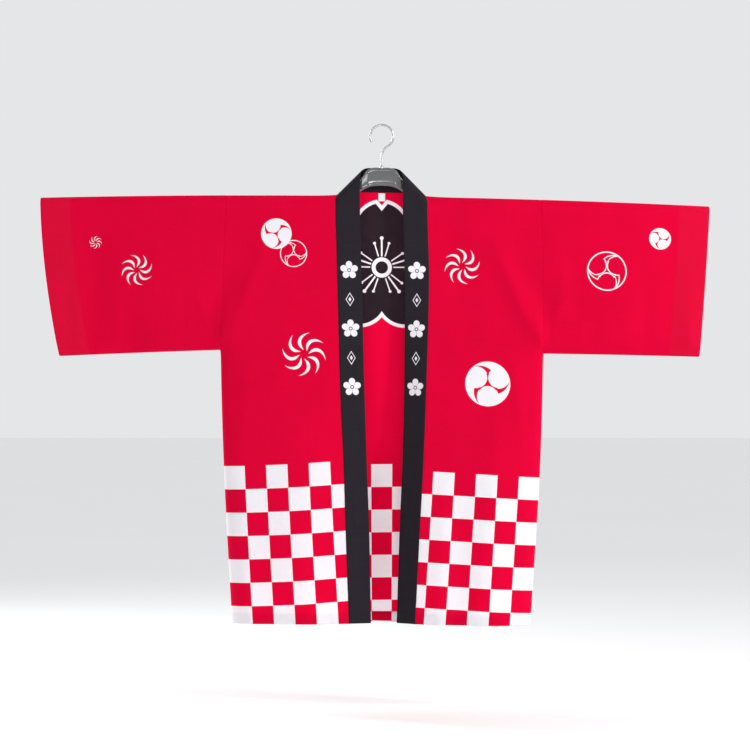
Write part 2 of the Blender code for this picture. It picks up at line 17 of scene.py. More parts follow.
import bmesh
import bpy
from mathutils import Euler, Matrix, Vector


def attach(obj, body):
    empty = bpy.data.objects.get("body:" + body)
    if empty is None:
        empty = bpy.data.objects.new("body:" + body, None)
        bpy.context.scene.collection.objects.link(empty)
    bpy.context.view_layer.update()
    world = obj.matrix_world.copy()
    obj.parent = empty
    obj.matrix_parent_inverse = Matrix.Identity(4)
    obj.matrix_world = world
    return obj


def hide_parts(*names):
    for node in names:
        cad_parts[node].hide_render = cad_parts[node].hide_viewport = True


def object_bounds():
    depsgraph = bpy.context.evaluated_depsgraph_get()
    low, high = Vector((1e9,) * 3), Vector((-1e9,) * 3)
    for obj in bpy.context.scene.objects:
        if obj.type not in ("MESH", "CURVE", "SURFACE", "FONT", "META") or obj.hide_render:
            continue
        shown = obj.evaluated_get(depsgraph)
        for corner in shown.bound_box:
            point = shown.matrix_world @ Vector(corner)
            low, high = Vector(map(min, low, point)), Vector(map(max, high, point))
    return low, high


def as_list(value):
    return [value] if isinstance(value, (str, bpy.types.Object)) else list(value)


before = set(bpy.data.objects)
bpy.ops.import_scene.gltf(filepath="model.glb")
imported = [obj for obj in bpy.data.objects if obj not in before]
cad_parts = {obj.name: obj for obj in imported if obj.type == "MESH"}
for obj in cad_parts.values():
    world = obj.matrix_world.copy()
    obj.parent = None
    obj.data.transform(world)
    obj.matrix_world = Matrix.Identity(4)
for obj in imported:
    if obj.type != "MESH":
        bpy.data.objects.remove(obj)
CAD_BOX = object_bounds()

LOG = logging.getLogger("festival_coat")
Pair = tuple[float, float]
Triple = tuple[float, float, float]
Colour = Triple
# A print's centre on the flat cut, its turn in radians, and its radius across and up
Stamp = tuple[Vector, float, Pair]
# One row of values for each side
Rows = tuple[tuple[float, ...], tuple[float, ...]]
QUARTER = math.pi / 2
ROOT2 = math.sqrt(2)
# A share just short of the whole, which keeps a depth above the underarm
BELOW_ONE = 0.99999


class Side(Enum):
    """A half of the coat, by the sign of its X."""

    LEFT = -1
    RIGHT = 1

    @classmethod
    def of(cls, x: float) -> "Side":
        """The half that a place across the coat is in."""
        return cls.LEFT if x < 0 else cls.RIGHT


class Face(Enum):
    """A face of the coat, by the sign of its Y."""

    FRONT = -1
    BACK = 1


class Motif(Enum):
    """The printed motifs, each by the name of the method that draws it."""

    WHIRL = "whirl"
    COMMAS = "commas"
    COMMA_LINES = "comma_lines"
    FLOWER = "flower"
    DIAMOND = "diamond"
    BLOSSOM = "blossom"


def mix(a: float, b: float, share: float) -> float:
    """The value this share of the way from a to b."""
    return a + (b - a) * share


def ramp(low: float, high: float, value: float) -> float:
    """A smooth step from 0 at low to 1 at high."""
    share = min(max((value - low) / (high - low), 0.0), 1.0)
    return share * share * (3 - 2 * share)


def steps(start: float, end: float, spacing: float) -> list[float]:
    """Even places from start up to, and not including, end.

    Args:
        start: The first place.
        end: Where the places stop.
        spacing: The widest spacing wanted.

    Returns:
        The places in order.
    """
    count = max(1, math.ceil(abs(end - start) / spacing))
    return [mix(start, end, step / count) for step in range(count)]


class Curve:
    """A smooth curve through the rows of a table."""

    def __init__(self, places: Sequence[float], values: Sequence[float]) -> None:
        """Keep the rows and work out the slope at each.

        Args:
            places: Where each row stands, rising.
            values: The value there.
        """
        self.places = list(places)
        self.values = list(values)
        last = len(self.places) - 1
        self.slopes: list[float] = []
        for row in range(last + 1):
            before, after = max(row - 1, 0), min(row + 1, last)
            rise = self.values[after] - self.values[before]
            self.slopes.append(rise / (self.places[after] - self.places[before]))

    def at(self, place: float) -> float:
        """The value at a place, held level beyond both ends.

        Args:
            place: Where to read the curve.

        Returns:
            The value.
        """
        if place <= self.places[0]:
            return self.values[0]
        if place >= self.places[-1]:
            return self.values[-1]
        row = max(i for i in range(len(self.places) - 1) if self.places[i] <= place)
        span = self.places[row + 1] - self.places[row]
        t = (place - self.places[row]) / span
        bend = (2 * t**3 - 3 * t**2 + 1) * self.values[row] + (3 * t**2 - 2 * t**3) * self.values[row + 1]
        lean = (t**3 - 2 * t**2 + t) * self.slopes[row] + (t**3 - t**2) * self.slopes[row + 1]
        return bend + span * lean


@dataclass(frozen=True)
class SleeveCut:
    """A sleeve: its armhole, its cuff, how its lower corner draws in, and its depth at the cuff."""

    armhole_top: float
    armhole_low: float
    cuff: float
    draw_in: float
    draw_power: float
    cuff_depth: float

    def cuff_distance(self, share_down: float) -> float:
        """Distance of the cuff's edge from the middle line, a share of the way down it."""
        return self.cuff - self.draw_in * share_down**self.draw_power


@dataclass(frozen=True)
class Fold:
    """A soft ridge, or a trough where its height is negative, between two points of the cloth."""

    x_top: float
    depth_top: float
    x_low: float
    depth_low: float
    width: float
    height_top: float
    height_low: float
    fade: float = 0.30

    def height(self, x: float, depth: float, coat_length: float) -> float:
        """The fold's height at a point of the cloth.

        Args:
            x: The point's place across the coat.
            depth: Its distance down from the shoulder line.
            coat_length: How long the panel is, past which a fold runs out over the hem.

        Returns:
            The height in metres.
        """
        run_x = self.x_low - self.x_top
        run_depth = self.depth_low - self.depth_top
        length = math.hypot(run_x, run_depth)
        across = ((x - self.x_top) * run_depth - (depth - self.depth_top) * run_x) / length
        if abs(across) > 3.2 * self.width:
            return 0.0
        share = ((x - self.x_top) * run_x + (depth - self.depth_top) * run_depth) / length**2
        low = 1.0 if self.depth_low > coat_length else 1 - ramp(1 - self.fade, 1 + self.fade, share)
        shown = ramp(-self.fade / 2, self.fade, share) * low
        height = mix(self.height_top, self.height_low, min(max(share, 0.0), 1.0))
        return height * shown * math.exp(-((across / self.width) ** 2))


def folds(*rows: tuple[int, ...]) -> tuple[Fold, ...]:
    """Read folds from rows of whole numbers.

    Args:
        rows: For each fold its two ends and its width in mm, its two heights in tenths of a mm, and how
            soon it fades, in hundredths of its length, where that isn't 30.

    Returns:
        The folds.
    """
    found = []
    for row in rows:
        lengths = [value / 1000 for value in row[:5]] + [value / 10000 for value in row[5:7]]
        found.append(Fold(*lengths, *(value / 100 for value in row[7:])))
    return tuple(found)


# The main folds are the solids' own, and the finer creases are added on the cloth alone
MAIN_FRONT_FOLDS = folds(
    (200, 70, 300, 275, 17, 15, 60), (245, 60, 330, 250, 20, -10, -45), (-205, 75, -298, 275, 19, 10, 50),
    (-255, 80, -335, 250, 22, -10, -40), (-225, 400, -215, 830, 26, -10, -60),
    (-150, 470, -140, 830, 28, 5, 50), (225, 330, 215, 830, 26, 30, 60), (160, 450, 145, 830, 28, -5, -60),
    (562, 90, 552, 290, 16, -20, -40), (460, 80, 470, 290, 24, 5, 35), (-430, 70, -445, 300, 26, 5, 40),
    (-545, 90, -560, 300, 20, -10, -40),
)
FINE_FRONT_FOLDS = folds(
    (288, 170, 305, 290, 8, 3, 32), (338, 160, 319, 284, 9, -3, -29), (356, 110, 326, 262, 11, 5, 24),
    (-286, 165, -306, 290, 8, 3, 29), (-340, 175, -320, 286, 10, -3, -26), (-362, 120, -330, 268, 12, 3, 21),
    (256, 325, 272, 520, 13, 24, 6), (288, 318, 277, 470, 9, -21, -5), (-260, 330, -270, 540, 13, 21, 5),
    (-288, 322, -281, 450, 10, -18, -3), (120, 520, 110, 830, 13, 5, 27), (-108, 600, -102, 830, 12, 3, -24),
    (262, 560, 254, 830, 14, 3, -26), (-262, 620, -250, 830, 12, 3, 22), (505, 90, 508, 300, 13, 3, -24),
    (596, 120, 588, 300, 11, 5, 26), (395, 100, 384, 300, 14, -3, 24), (-500, 80, -508, 310, 15, 3, 26),
    (-606, 100, -596, 300, 11, -3, -24), (-386, 90, -374, 310, 13, 5, -24),
    (110, 418, 300, 412, 5, -4, -4, 12), (-300, 409, -105, 415, 5, -4, -4, 12),
    (318, 235, 402, 150, 9, 26, 4), (322, 262, 430, 205, 10, -22, -4), (-318, 240, -410, 160, 10, 24, 4),
    (-324, 268, -440, 220, 10, -20, -4), (205, 75, 292, 270, 18, 10, 30), (128, 60, 168, 300, 24, -30, -18),
    (250, 300, 262, 560, 21, 34, 14), (-212, 80, -288, 285, 20, 10, 30), (-405, 60, -410, 300, 46, 15, 30),
    (-165, 140, -205, 400, 20, 6, 24), (-110, 300, -128, 560, 15, 4, 18), (205, 520, 182, 830, 13, 4, 26),
    (-190, 560, -178, 830, 14, 4, -24), (560, 200, 612, 290, 12, 4, 20), (-352, 60, -470, 295, 19, 4, -22),
    (352, 75, 398, 285, 17, -14, -30), (400, 60, 440, 290, 15, 4, 18),
)
MAIN_BACK_FOLDS = folds(
    (80, 250, 77, 830, 26, -10, -95), (-68, 250, -85, 830, 28, -10, -105), (175, 400, 195, 830, 32, 5, 70),
    (-180, 430, -200, 830, 30, 5, 65), (-200, 90, -296, 280, 19, 10, 55), (205, 90, 298, 280, 19, 10, 50),
    (430, 80, 445, 290, 24, -5, -35), (-470, 90, -480, 300, 26, 5, 40),
)
FINE_BACK_FOLDS = folds(
    (-284, 165, -305, 290, 8, 3, 29), (-342, 160, -320, 284, 10, -3, -26), (286, 160, 306, 290, 9, 3, 27),
    (344, 170, 321, 286, 9, -3, -27), (-262, 322, -274, 500, 12, 21, 5), (258, 325, 270, 520, 12, 22, 5),
    (30, 420, 28, 830, 16, 3, 29), (-130, 520, -138, 830, 14, 3, -24), (236, 540, 244, 830, 14, 3, -26),
    (-248, 560, -252, 830, 13, 3, 22), (520, 80, 512, 300, 15, 3, 26), (380, 100, 372, 300, 13, 3, -22),
    (-400, 90, -388, 310, 14, 3, -24), (-560, 100, -566, 300, 13, -3, -24),
    (-300, 412, 300, 416, 5, -4, -4, 8), (-318, 238, -408, 155, 10, 24, 4), (320, 245, 405, 165, 10, 22, 4),
    (-110, 130, -160, 420, 20, 6, 22), (120, 140, 150, 400, 18, 6, -20), (10, 560, 4, 830, 13, 4, -26),
    (130, 520, 128, 830, 14, 4, 24), (-30, 500, -36, 830, 14, 4, 22), (350, 60, 460, 290, 18, 4, 22),
    (-350, 60, -440, 295, 18, 4, -20),
)


@dataclass
class HangingForm:
    """How every point of the flat cut lies once the coat hangs on its hanger.

    A depth is the distance down from the shoulder line.
    """

    hook_above_shoulder: float = 0.135
    coat_length: float = 0.8275
    underarm_depth: float = 0.3033
    roll: float = 0.013
    shoulder_tilt: float = -0.0140
    shoulder_arch: float = 0.028
    hem_levelling: float = 0.5
    edge_round: float = 0.035
    front_swell: float = 0.023
    back_swell: float = 0.084
    side_sway: float = 0.010
    swell_start: float = 0.12
    swell_power: float = 1.5
    sleeve_swell: float = 0.005
    cuff_swell: float = 0.007
    band_width: float = 0.0475
    neck_pull_reach: float = 0.05
    fold_clear: float = 0.03
    fold_full: float = 0.10
    pucker_height: float = 0.00022
    pucker_reach: float = 0.014
    edge_depths: Rows = (
        (0.045, 0.200, 0.390, 0.530, 0.650, 0.828),
        (0.045, 0.170, 0.390, 0.530, 0.650, 0.828),
    )
    side_edges: Rows = (
        (0.3110, 0.3110, 0.3080, 0.3035, 0.2978, 0.2878),
        (0.3110, 0.3115, 0.3085, 0.3040, 0.2970, 0.2855),
    )
    outer_edges: Rows = (
        (0.0893, 0.0850, 0.0800, 0.0738, 0.0700, 0.0638),
        (0.0880, 0.0912, 0.0855, 0.0800, 0.0735, 0.0645),
    )
    inner_edges: Rows = (
        (0.0418, 0.0377, 0.0329, 0.0285, 0.0243, 0.0212),
        (0.0405, 0.0439, 0.0432, 0.0395, 0.0345, 0.0290),
    )
    sleeves: dict[Side, SleeveCut] = field(
        default_factory=lambda: {
            Side.LEFT: SleeveCut(0.2985, 0.3110, 0.6545, 0.036, 1.7, 0.3120),
            Side.RIGHT: SleeveCut(0.3050, 0.3110, 0.6286, 0.0195, 1.1, 0.2997),
        }
    )

    def __post_init__(self) -> None:
        """Turn the tables into curves and work out what depends on the roll."""
        self.fold_reach = ROOT2 * self.roll * QUARTER
        self.fold_shift = (QUARTER - 1) * self.roll / ROOT2
        self.band_rise = (QUARTER - 1) * (1 - 1 / ROOT2) * self.roll
        self.side_curve, self.outer_curve, self.inner_curve = (
            {side: Curve(*rows) for side, *rows in zip(Side, self.edge_depths, edges, strict=True)}
            for edges in (self.side_edges, self.outer_edges, self.inner_edges)
        )
        self.folds = {
            Face.FRONT: MAIN_FRONT_FOLDS + FINE_FRONT_FOLDS,
            Face.BACK: MAIN_BACK_FOLDS + FINE_BACK_FOLDS,
        }

    def placed(self, x: float, y: float, z: float) -> Vector:
        """A point whose height was worked out from the shoulder line."""
        return Vector((x, y, z - self.hook_above_shoulder))

    def shoulder(self, x: float, depth: float = 0.0) -> float:
        """Height of the shoulder line, which the rows below it follow less and less."""
        level = 1 - self.hem_levelling * depth / self.coat_length
        return (self.shoulder_tilt * x - self.shoulder_arch * x * x) * level

    def crest(self, side: Side) -> float:
        """Distance from the middle line at which the collar band folds over the shoulder."""
        return self.outer_curve[side].values[0] - self.fold_shift

    def flat_depth(self, x: float, height: float) -> float:
        """How far down the flat cut a point lies that is seen at this height from the shoulder line."""
        return self.shoulder(x) - height + (QUARTER - 1) * self.roll

    def side_edge(self, side: Side, depth: float) -> float:
        """Distance from the middle line to the armhole seam, and below it to the side seam.

        Args:
            side: The half of the coat.
            depth: How far down.

        Returns:
            The distance.
        """
        if depth >= self.underarm_depth:
            return self.side_curve[side].at(depth)
        sleeve = self.sleeves[side]
        return mix(sleeve.armhole_top, sleeve.armhole_low, depth / self.underarm_depth)

    def over_roll(self, depth: float) -> Pair:
        """Half the cloth's separation, and its drop below the shoulder line, this far down.

        Args:
            depth: Distance down the cloth from the top.

        Returns:
            The half and the drop.
        """
        turn = min(depth / self.roll, QUARTER)
        drop = self.roll * (1 - math.cos(turn)) + max(0.0, depth - self.roll * QUARTER)
        return self.roll * math.sin(turn), drop

    def round_share(self, distance: float) -> float:
        """Share of the full separation this far in from an edge where front and back meet."""
        inward = min(max(distance, 0.0) / self.edge_round, 1.0)
        return math.sqrt(1 - (1 - inward) ** 2)

    def fold_height(self, face: Face, x: float, depth: float) -> float:
        """Height of all the folds of a face at a point of the cloth."""
        total = sum(fold.height(x, depth, self.coat_length) for fold in self.folds[face])
        return total * ramp(self.fold_clear, self.fold_full, depth)

    def swell_share(self, depth: float) -> float:
        """Share of the full swell at the hem that a panel has at this depth."""
        span = self.coat_length - self.swell_start
        return max(0.0, (depth - self.swell_start) / span) ** self.swell_power

    def body_edge_distance(self, inset: float, depth: float) -> float:
        """Distance within the body from the nearest edge where front and back meet.

        Args:
            inset: Distance in from the side seam.
            depth: How far down.

        Returns:
            The distance.
        """
        if depth >= self.underarm_depth:
            return inset
        return math.hypot(inset, self.underarm_depth - depth)

    def neck_edge(self, side: Side, depth: float) -> Triple:
        """The band's sewn edge on a front, from the top of the shoulder down.

        Args:
            side: The half of the coat.
            depth: How far down.

        Returns:
            The point, before its height is placed.
        """
        outer = self.outer_curve[side].at(depth)
        turn = -min(depth / (ROOT2 * self.roll), QUARTER)
        inward = self.fold_shift + self.roll * (turn + 1 - math.cos(turn)) / ROOT2
        x = side.value * (outer - inward)
        z = self.shoulder(x, depth) + self.band_rise
        z += self.roll * (turn - 1 + math.cos(turn)) / ROOT2 - max(0.0, depth - self.fold_reach)
        return x, self.roll * math.sin(turn), z

    def front(self, side: Side, inset: float, share: float, depth: float) -> Vector:
        """A point of a front panel.

        Args:
            side: Which front.
            inset: Distance in from the side seam, up to the rounded edge's width.
            share: Share of the rest of the way to the collar band.
            depth: How far down.

        Returns:
            The point.
        """
        sign = side.value
        edge = self.side_edge(side, depth)
        outer = self.outer_curve[side].at(depth)
        run = inset + share * (edge - self.edge_round - outer)
        x = edge - run
        half, drop = self.over_roll(depth)
        across = run / (edge - outer)
        raised = self.front_swell * self.swell_share(depth) * math.sin(math.pi * across)
        raised += self.fold_height(Face.FRONT, sign * x, depth) + self.pucker(depth, x - outer)
        level = self.round_share(self.body_edge_distance(run, depth))
        sway = self.side_sway * self.swell_share(depth) * (1 - across)
        y = sway - (half + raised + sway) * level
        z = self.shoulder(sign * x, depth) - drop
        pull = max(0.0, 1 - (x - outer) / self.neck_pull_reach) ** 2
        edge_x, edge_y, edge_z = self.neck_edge(side, depth)
        x = sign * x + pull * (edge_x - sign * outer)
        y += pull * (edge_y + half)
        z += pull * (edge_z - self.shoulder(sign * outer, depth) + drop)
        return self.placed(x, y, z)

    def pucker(self, depth: float, distance: float) -> float:
        """The small waves that a line of stitching draws into the cloth beside it.

        Args:
            depth: How far down.
            distance: Distance from the stitching.

        Returns:
            Their height.
        """
        wave = math.sin(depth * 271) + 0.7 * math.sin(depth * 173 + 1.3) + 0.5 * math.sin(depth * 419)
        clear = ramp(self.fold_clear, self.fold_full, depth)
        return self.pucker_height * wave * clear * math.exp(-distance / self.pucker_reach)

    def fold_turn(self, side: Side, distance: float) -> float:
        """Angle round the roll at which the back neckline starts, this far from the middle line.

        Args:
            side: The half of the coat.
            distance: Distance from the middle line.

        Returns:
            The angle in radians.
        """
        crest = self.crest(side)
        if distance >= crest:
            return 0.0
        low, high = 0.0, QUARTER
        for _ in range(30):
            middle = (low + high) / 2
            reached = crest - self.roll * (middle + 1 - math.cos(middle)) / ROOT2
            low, high = (middle, high) if reached > distance else (low, middle)
        return (low + high) / 2

    def back(self, x: float, inset: float, depth: float) -> Vector:
        """A point of the back.

        Args:
            x: Its place across the coat.
            inset: Its distance in from the side seam.
            depth: Its distance down from the shoulder line, or from the neckline under the band.

        Returns:
            The point.
        """
        side, distance = Side.of(x), abs(x)
        turn = self.fold_turn(side, distance)
        near = max(0.0, 1 - max(0.0, distance - self.crest(side)) / self.neck_pull_reach) ** 2
        start = self.shoulder(x, depth)
        start += near * self.band_rise * max(0.0, 1 - depth / self.neck_pull_reach) ** 2
        if turn > 0.0:
            start += self.roll * (turn - 1 + math.cos(turn)) / ROOT2
        reached = min(turn + depth / self.roll, QUARTER)
        half = self.roll * math.sin(reached)
        drop = self.roll * (math.cos(turn) - math.cos(reached))
        drop += max(0.0, depth - self.roll * (QUARTER - turn))
        share = min(distance / self.side_edge(side, depth), 1.0)
        raised = self.back_swell * self.swell_share(depth) * math.cos(QUARTER * share)
        raised += self.fold_height(Face.BACK, x, depth)
        sway = self.side_sway * self.swell_share(depth)
        level = self.round_share(self.body_edge_distance(inset, depth))
        return self.placed(x, sway + (half - sway + raised) * level, start - drop)

    def sleeve(self, side: Side, face: Face, share_out: float, share_down: float) -> Vector:
        """A point of a sleeve.

        Args:
            side: Which sleeve.
            face: Its front or its back.
            share_out: Share of the way from the armhole to the cuff.
            share_down: Share of the way from the shoulder line to the underarm fold.

        Returns:
            The point.
        """
        cut = self.sleeves[side]
        low = mix(self.underarm_depth, cut.cuff_depth, share_out)
        depth = share_down * low
        inner = self.side_edge(side, min(share_down, BELOW_ONE) * self.underarm_depth)
        x = side.value * mix(inner, cut.cuff_distance(share_down), share_out)
        half, drop = self.over_roll(depth)
        belly = math.sin(math.pi * share_down)
        raised = (self.sleeve_swell * math.sin(math.pi * share_out) + self.cuff_swell * share_out**2) * belly
        raised += self.fold_height(face, x, depth)
        level = self.round_share(low - depth)
        return self.placed(x, face.value * (half + raised) * level, self.shoulder(x, depth) - drop)

    def band_on_front(self, side: Side, across: float, depth: float) -> Vector:
        """A point of the band on a front, across from its seam to its free edge.

        Args:
            side: The half of the coat.
            across: The share of its width from its seam.
            depth: How far down.

        Returns:
            The point.
        """
        outer = self.outer_curve[side].at(depth)
        chord = outer - self.inner_curve[side].at(depth)
        curl = math.sqrt(max(0.0, self.band_width**2 - chord**2))
        x = side.value * (outer - across * chord)
        edge_x, y, z = self.neck_edge(side, depth)
        y += across * curl - self.fold_height(Face.FRONT, x, depth)
        return self.placed(x, y, z + self.shoulder(x, depth) - self.shoulder(edge_x, depth))

    def band_over_fold(self, side: Side, across: float, run: float) -> Vector:
        """A point of the band where it folds over the shoulder, run being the way along its seam.

        Args:
            side: The half of the coat.
            across: The share of its width from its seam.
            run: The way along its seam, over 0 past the shoulder line.

        Returns:
            The point.
        """
        q = across * self.band_width
        from_fold = (run - q) / ROOT2
        along = (run + q) / ROOT2
        quarter = self.roll * QUARTER
        turn = min(max(from_fold / self.roll, -QUARTER), QUARTER)
        inward = self.roll * (1 - math.cos(turn)) + max(0.0, abs(from_fold) - quarter)
        x = side.value * (self.crest(side) - (along + inward) / ROOT2)
        z = self.shoulder(x) + self.band_rise + (along - inward) / ROOT2
        return self.placed(x, self.roll * math.sin(turn), z)

    def band(self, side: Side, across: float, run: float) -> Vector:
        """A point of the band, where a run of less than 0 is down the front.

        Args:
            side: The half of the coat.
            across: The share of its width from its seam.
            run: The way along its seam.

        Returns:
            The point.
        """
        if run < -self.edge_depths[0][0]:
            return self.band_on_front(side, across, -run)
        return self.band_over_fold(side, across, run)


@dataclass(frozen=True)
class Station:
    """A row or column of a net: its place on the cloth, its lift off the cloth's face, and its cut."""

    place: float
    lift: float = 0.0
    cut: float | None = None

    @property
    def cut_place(self) -> float:
        """Where the station lies on the flat cut."""
        return self.place if self.cut is None else self.cut


class ClothPiece(ABC):
    """A piece of cloth: a thin shell on a net of rows and columns, which each kind of piece lays out.

    A place on the net is given by its column, which is the way along a row, and by its row.
    """

    name = ""
    node = ""
    slot = "red_cloth"
    outward = 1.0
    wall = 0.0007
    closed = False
    nudge: Pair = (1e-4, 1e-4)

    @abstractmethod
    def rows(self) -> list[Station]:
        """The rows in order."""

    @abstractmethod
    def columns(self) -> list[Station]:
        """The columns in order."""

    @abstractmethod
    def surface(self, column: float, row: float) -> Vector:
        """The point of the hung cloth's face at a place."""

    @abstractmethod
    def cut_map(self, column: float, row: float) -> Pair:
        """Where a place lies on the flat cut."""

    @abstractmethod
    def material(self) -> bpy.types.Material:
        """The piece's material."""

    def print_map(self, column: float, row: float) -> Pair:
        """Where a place lies among what is printed by its own measure."""
        return self.cut_map(column, row)

    def room(self, column: float, row: float) -> float:
        """The share of its lift that there is room for at a place."""
        return 1.0

    def normal(self, column: float, row: float) -> Vector:
        """The way out of the cloth's face at a place, by the slopes of the surface beside it.

        Args:
            column: The place's column.
            row: Its row.

        Returns:
            The unit vector.
        """
        beside, above = self.nudge
        across = self.surface(column + beside, row) - self.surface(column - beside, row)
        down = self.surface(column, row + above) - self.surface(column, row - above)
        return across.cross(down).normalized() * self.outward

    def lifted(self, column: Station, row: Station) -> Vector:
        """The point of the net where two stations cross, off the cloth's face by both their lifts.

        Args:
            column: The column's station.
            row: The row's station.

        Returns:
            The point.
        """
        lift = column.lift + row.lift
        point = self.surface(column.place, row.place)
        if lift == 0.0:
            return point
        return point + self.normal(column.place, row.place) * (lift * self.room(column.place, row.place))

    def build(self) -> bpy.types.Object:
        """Make the net's object, with its wall and its two maps.

        Returns:
            The object.
        """
        rows, columns = self.rows(), self.columns()
        net = bmesh.new()
        wide, tall = len(columns) - 1, len(rows) - 1
        bmesh.ops.create_grid(net, x_segments=wide, y_segments=tall, size=0.5)
        cut_layer = net.loops.layers.uv.new("cut")
        print_layer = net.loops.layers.uv.new("print")
        for vert in net.verts:
            column = columns[round((vert.co.x + 0.5) * wide)]
            row = rows[round((vert.co.y + 0.5) * tall)]
            cut = self.cut_map(column.cut_place, row.cut_place)
            shown = self.print_map(column.cut_place, row.cut_place)
            for loop in vert.link_loops:
                loop[cut_layer].uv = cut
                loop[print_layer].uv = shown
            vert.co = self.lifted(column, row)
        if self.closed:
            bmesh.ops.remove_doubles(net, verts=net.verts, dist=1e-6)
        thing = new_object(self.name, net)
        solidify = thing.modifiers.new("wall", "SOLIDIFY")
        solidify.thickness = self.wall
        solidify.offset = 0.0
        solidify.use_even_offset = False
        return thing

    def make(self) -> bpy.types.Object:
        """Build the piece and dress it.

        Returns:
            The piece.
        """
        thing = self.build()
        dress(thing, self.material(), self.slot, [self.node])
        return thing


def new_object(name: str, net: bmesh.types.BMesh) -> bpy.types.Object:
    """Turn a bmesh into a smooth object at the origin.

    Args:
        name: The object's name.
        net: The bmesh, which is freed.

    Returns:
        The object.
    """
    mesh = bpy.data.meshes.new(name)
    net.to_mesh(mesh)
    net.free()
    mesh.shade_smooth()
    thing = bpy.data.objects.new(name, mesh)
    bpy.context.scene.collection.objects.link(thing)
    return thing


def dress(thing: bpy.types.Object, material: bpy.types.Material, slot: str, nodes: Sequence[str]) -> None:
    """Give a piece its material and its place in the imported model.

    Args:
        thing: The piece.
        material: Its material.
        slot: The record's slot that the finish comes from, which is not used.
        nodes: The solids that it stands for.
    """
    thing.data.materials.append(material)
    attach(thing, "root")
    if nodes:
        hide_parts(*nodes)
    LOG.info("%s: %d faces, for %s", thing.name, len(thing.data.polygons), ", ".join(nodes) or "no node")


def operator(operation: str, *fixed: float, reflected: bool = False) -> "Callable[..., Signal]":
    """Make a Signal's method out of a Math node.

    Args:
        operation: The node's operation.
        fixed: Values that follow the method's own.
        reflected: True where the signal comes after the method's value.

    Returns:
        The method.
    """

    def method(self: "Signal", *others: "Signal | float") -> "Signal":
        """Add the node, and give its value."""
        values = (*others, self) if reflected else (self, *others)
        return self.graph.math(operation, *values, *fixed)

    return method


class Signal:
    """A number or a vector on its way through a material, written like any number."""

    def __init__(self, graph: "Graph", socket: bpy.types.NodeSocket) -> None:
        """Keep the socket and the graph that it is in."""
        self.graph = graph
        self.socket = socket

    __add__ = __radd__ = operator("ADD")
    __sub__ = operator("SUBTRACT")
    __rsub__ = operator("SUBTRACT", reflected=True)
    __mul__ = __rmul__ = operator("MULTIPLY")
    __truediv__ = operator("DIVIDE")
    __pow__ = operator("POWER")
    __abs__ = operator("ABSOLUTE")
    __neg__ = operator("MULTIPLY", -1.0)
    least = operator("MINIMUM")
    most = operator("MAXIMUM")
    # 1 where the value is over the limit, and 0 elsewhere
    over = operator("GREATER_THAN")
    # What is left of the value past its last whole number, and that whole number
    part = operator("FRACT")
    floor = operator("FLOOR")
    root = operator("SQRT")
    sine = operator("SINE")
    cosine = operator("COSINE")
    # The angle of a place whose height is the signal and whose way across is the other value
    angle = operator("ARCTAN2")

    def wrapped(self, half: float) -> "Signal":
        """The value brought within this far of 0 by whole turns."""
        return self.graph.math("WRAP", self, half, -half)

    def wave(self, pitch: float) -> "Signal":
        """A cosine of the value with this pitch."""
        return (self * (2 * math.pi / pitch)).cosine()

    def clamped(self) -> "Signal":
        """The value kept between 0 and 1."""
        return self.most(0.0).least(1.0)

    def edge(self, softness: float) -> "Signal":
        """A mask of where the value is over 0, with an edge this soft."""
        return (self / softness + 0.5).clamped()

    def beside(self, output: int) -> "Signal":
        """Another output of the same node."""
        return Signal(self.graph, self.socket.node.outputs[output])


Value = Signal | float | Colour


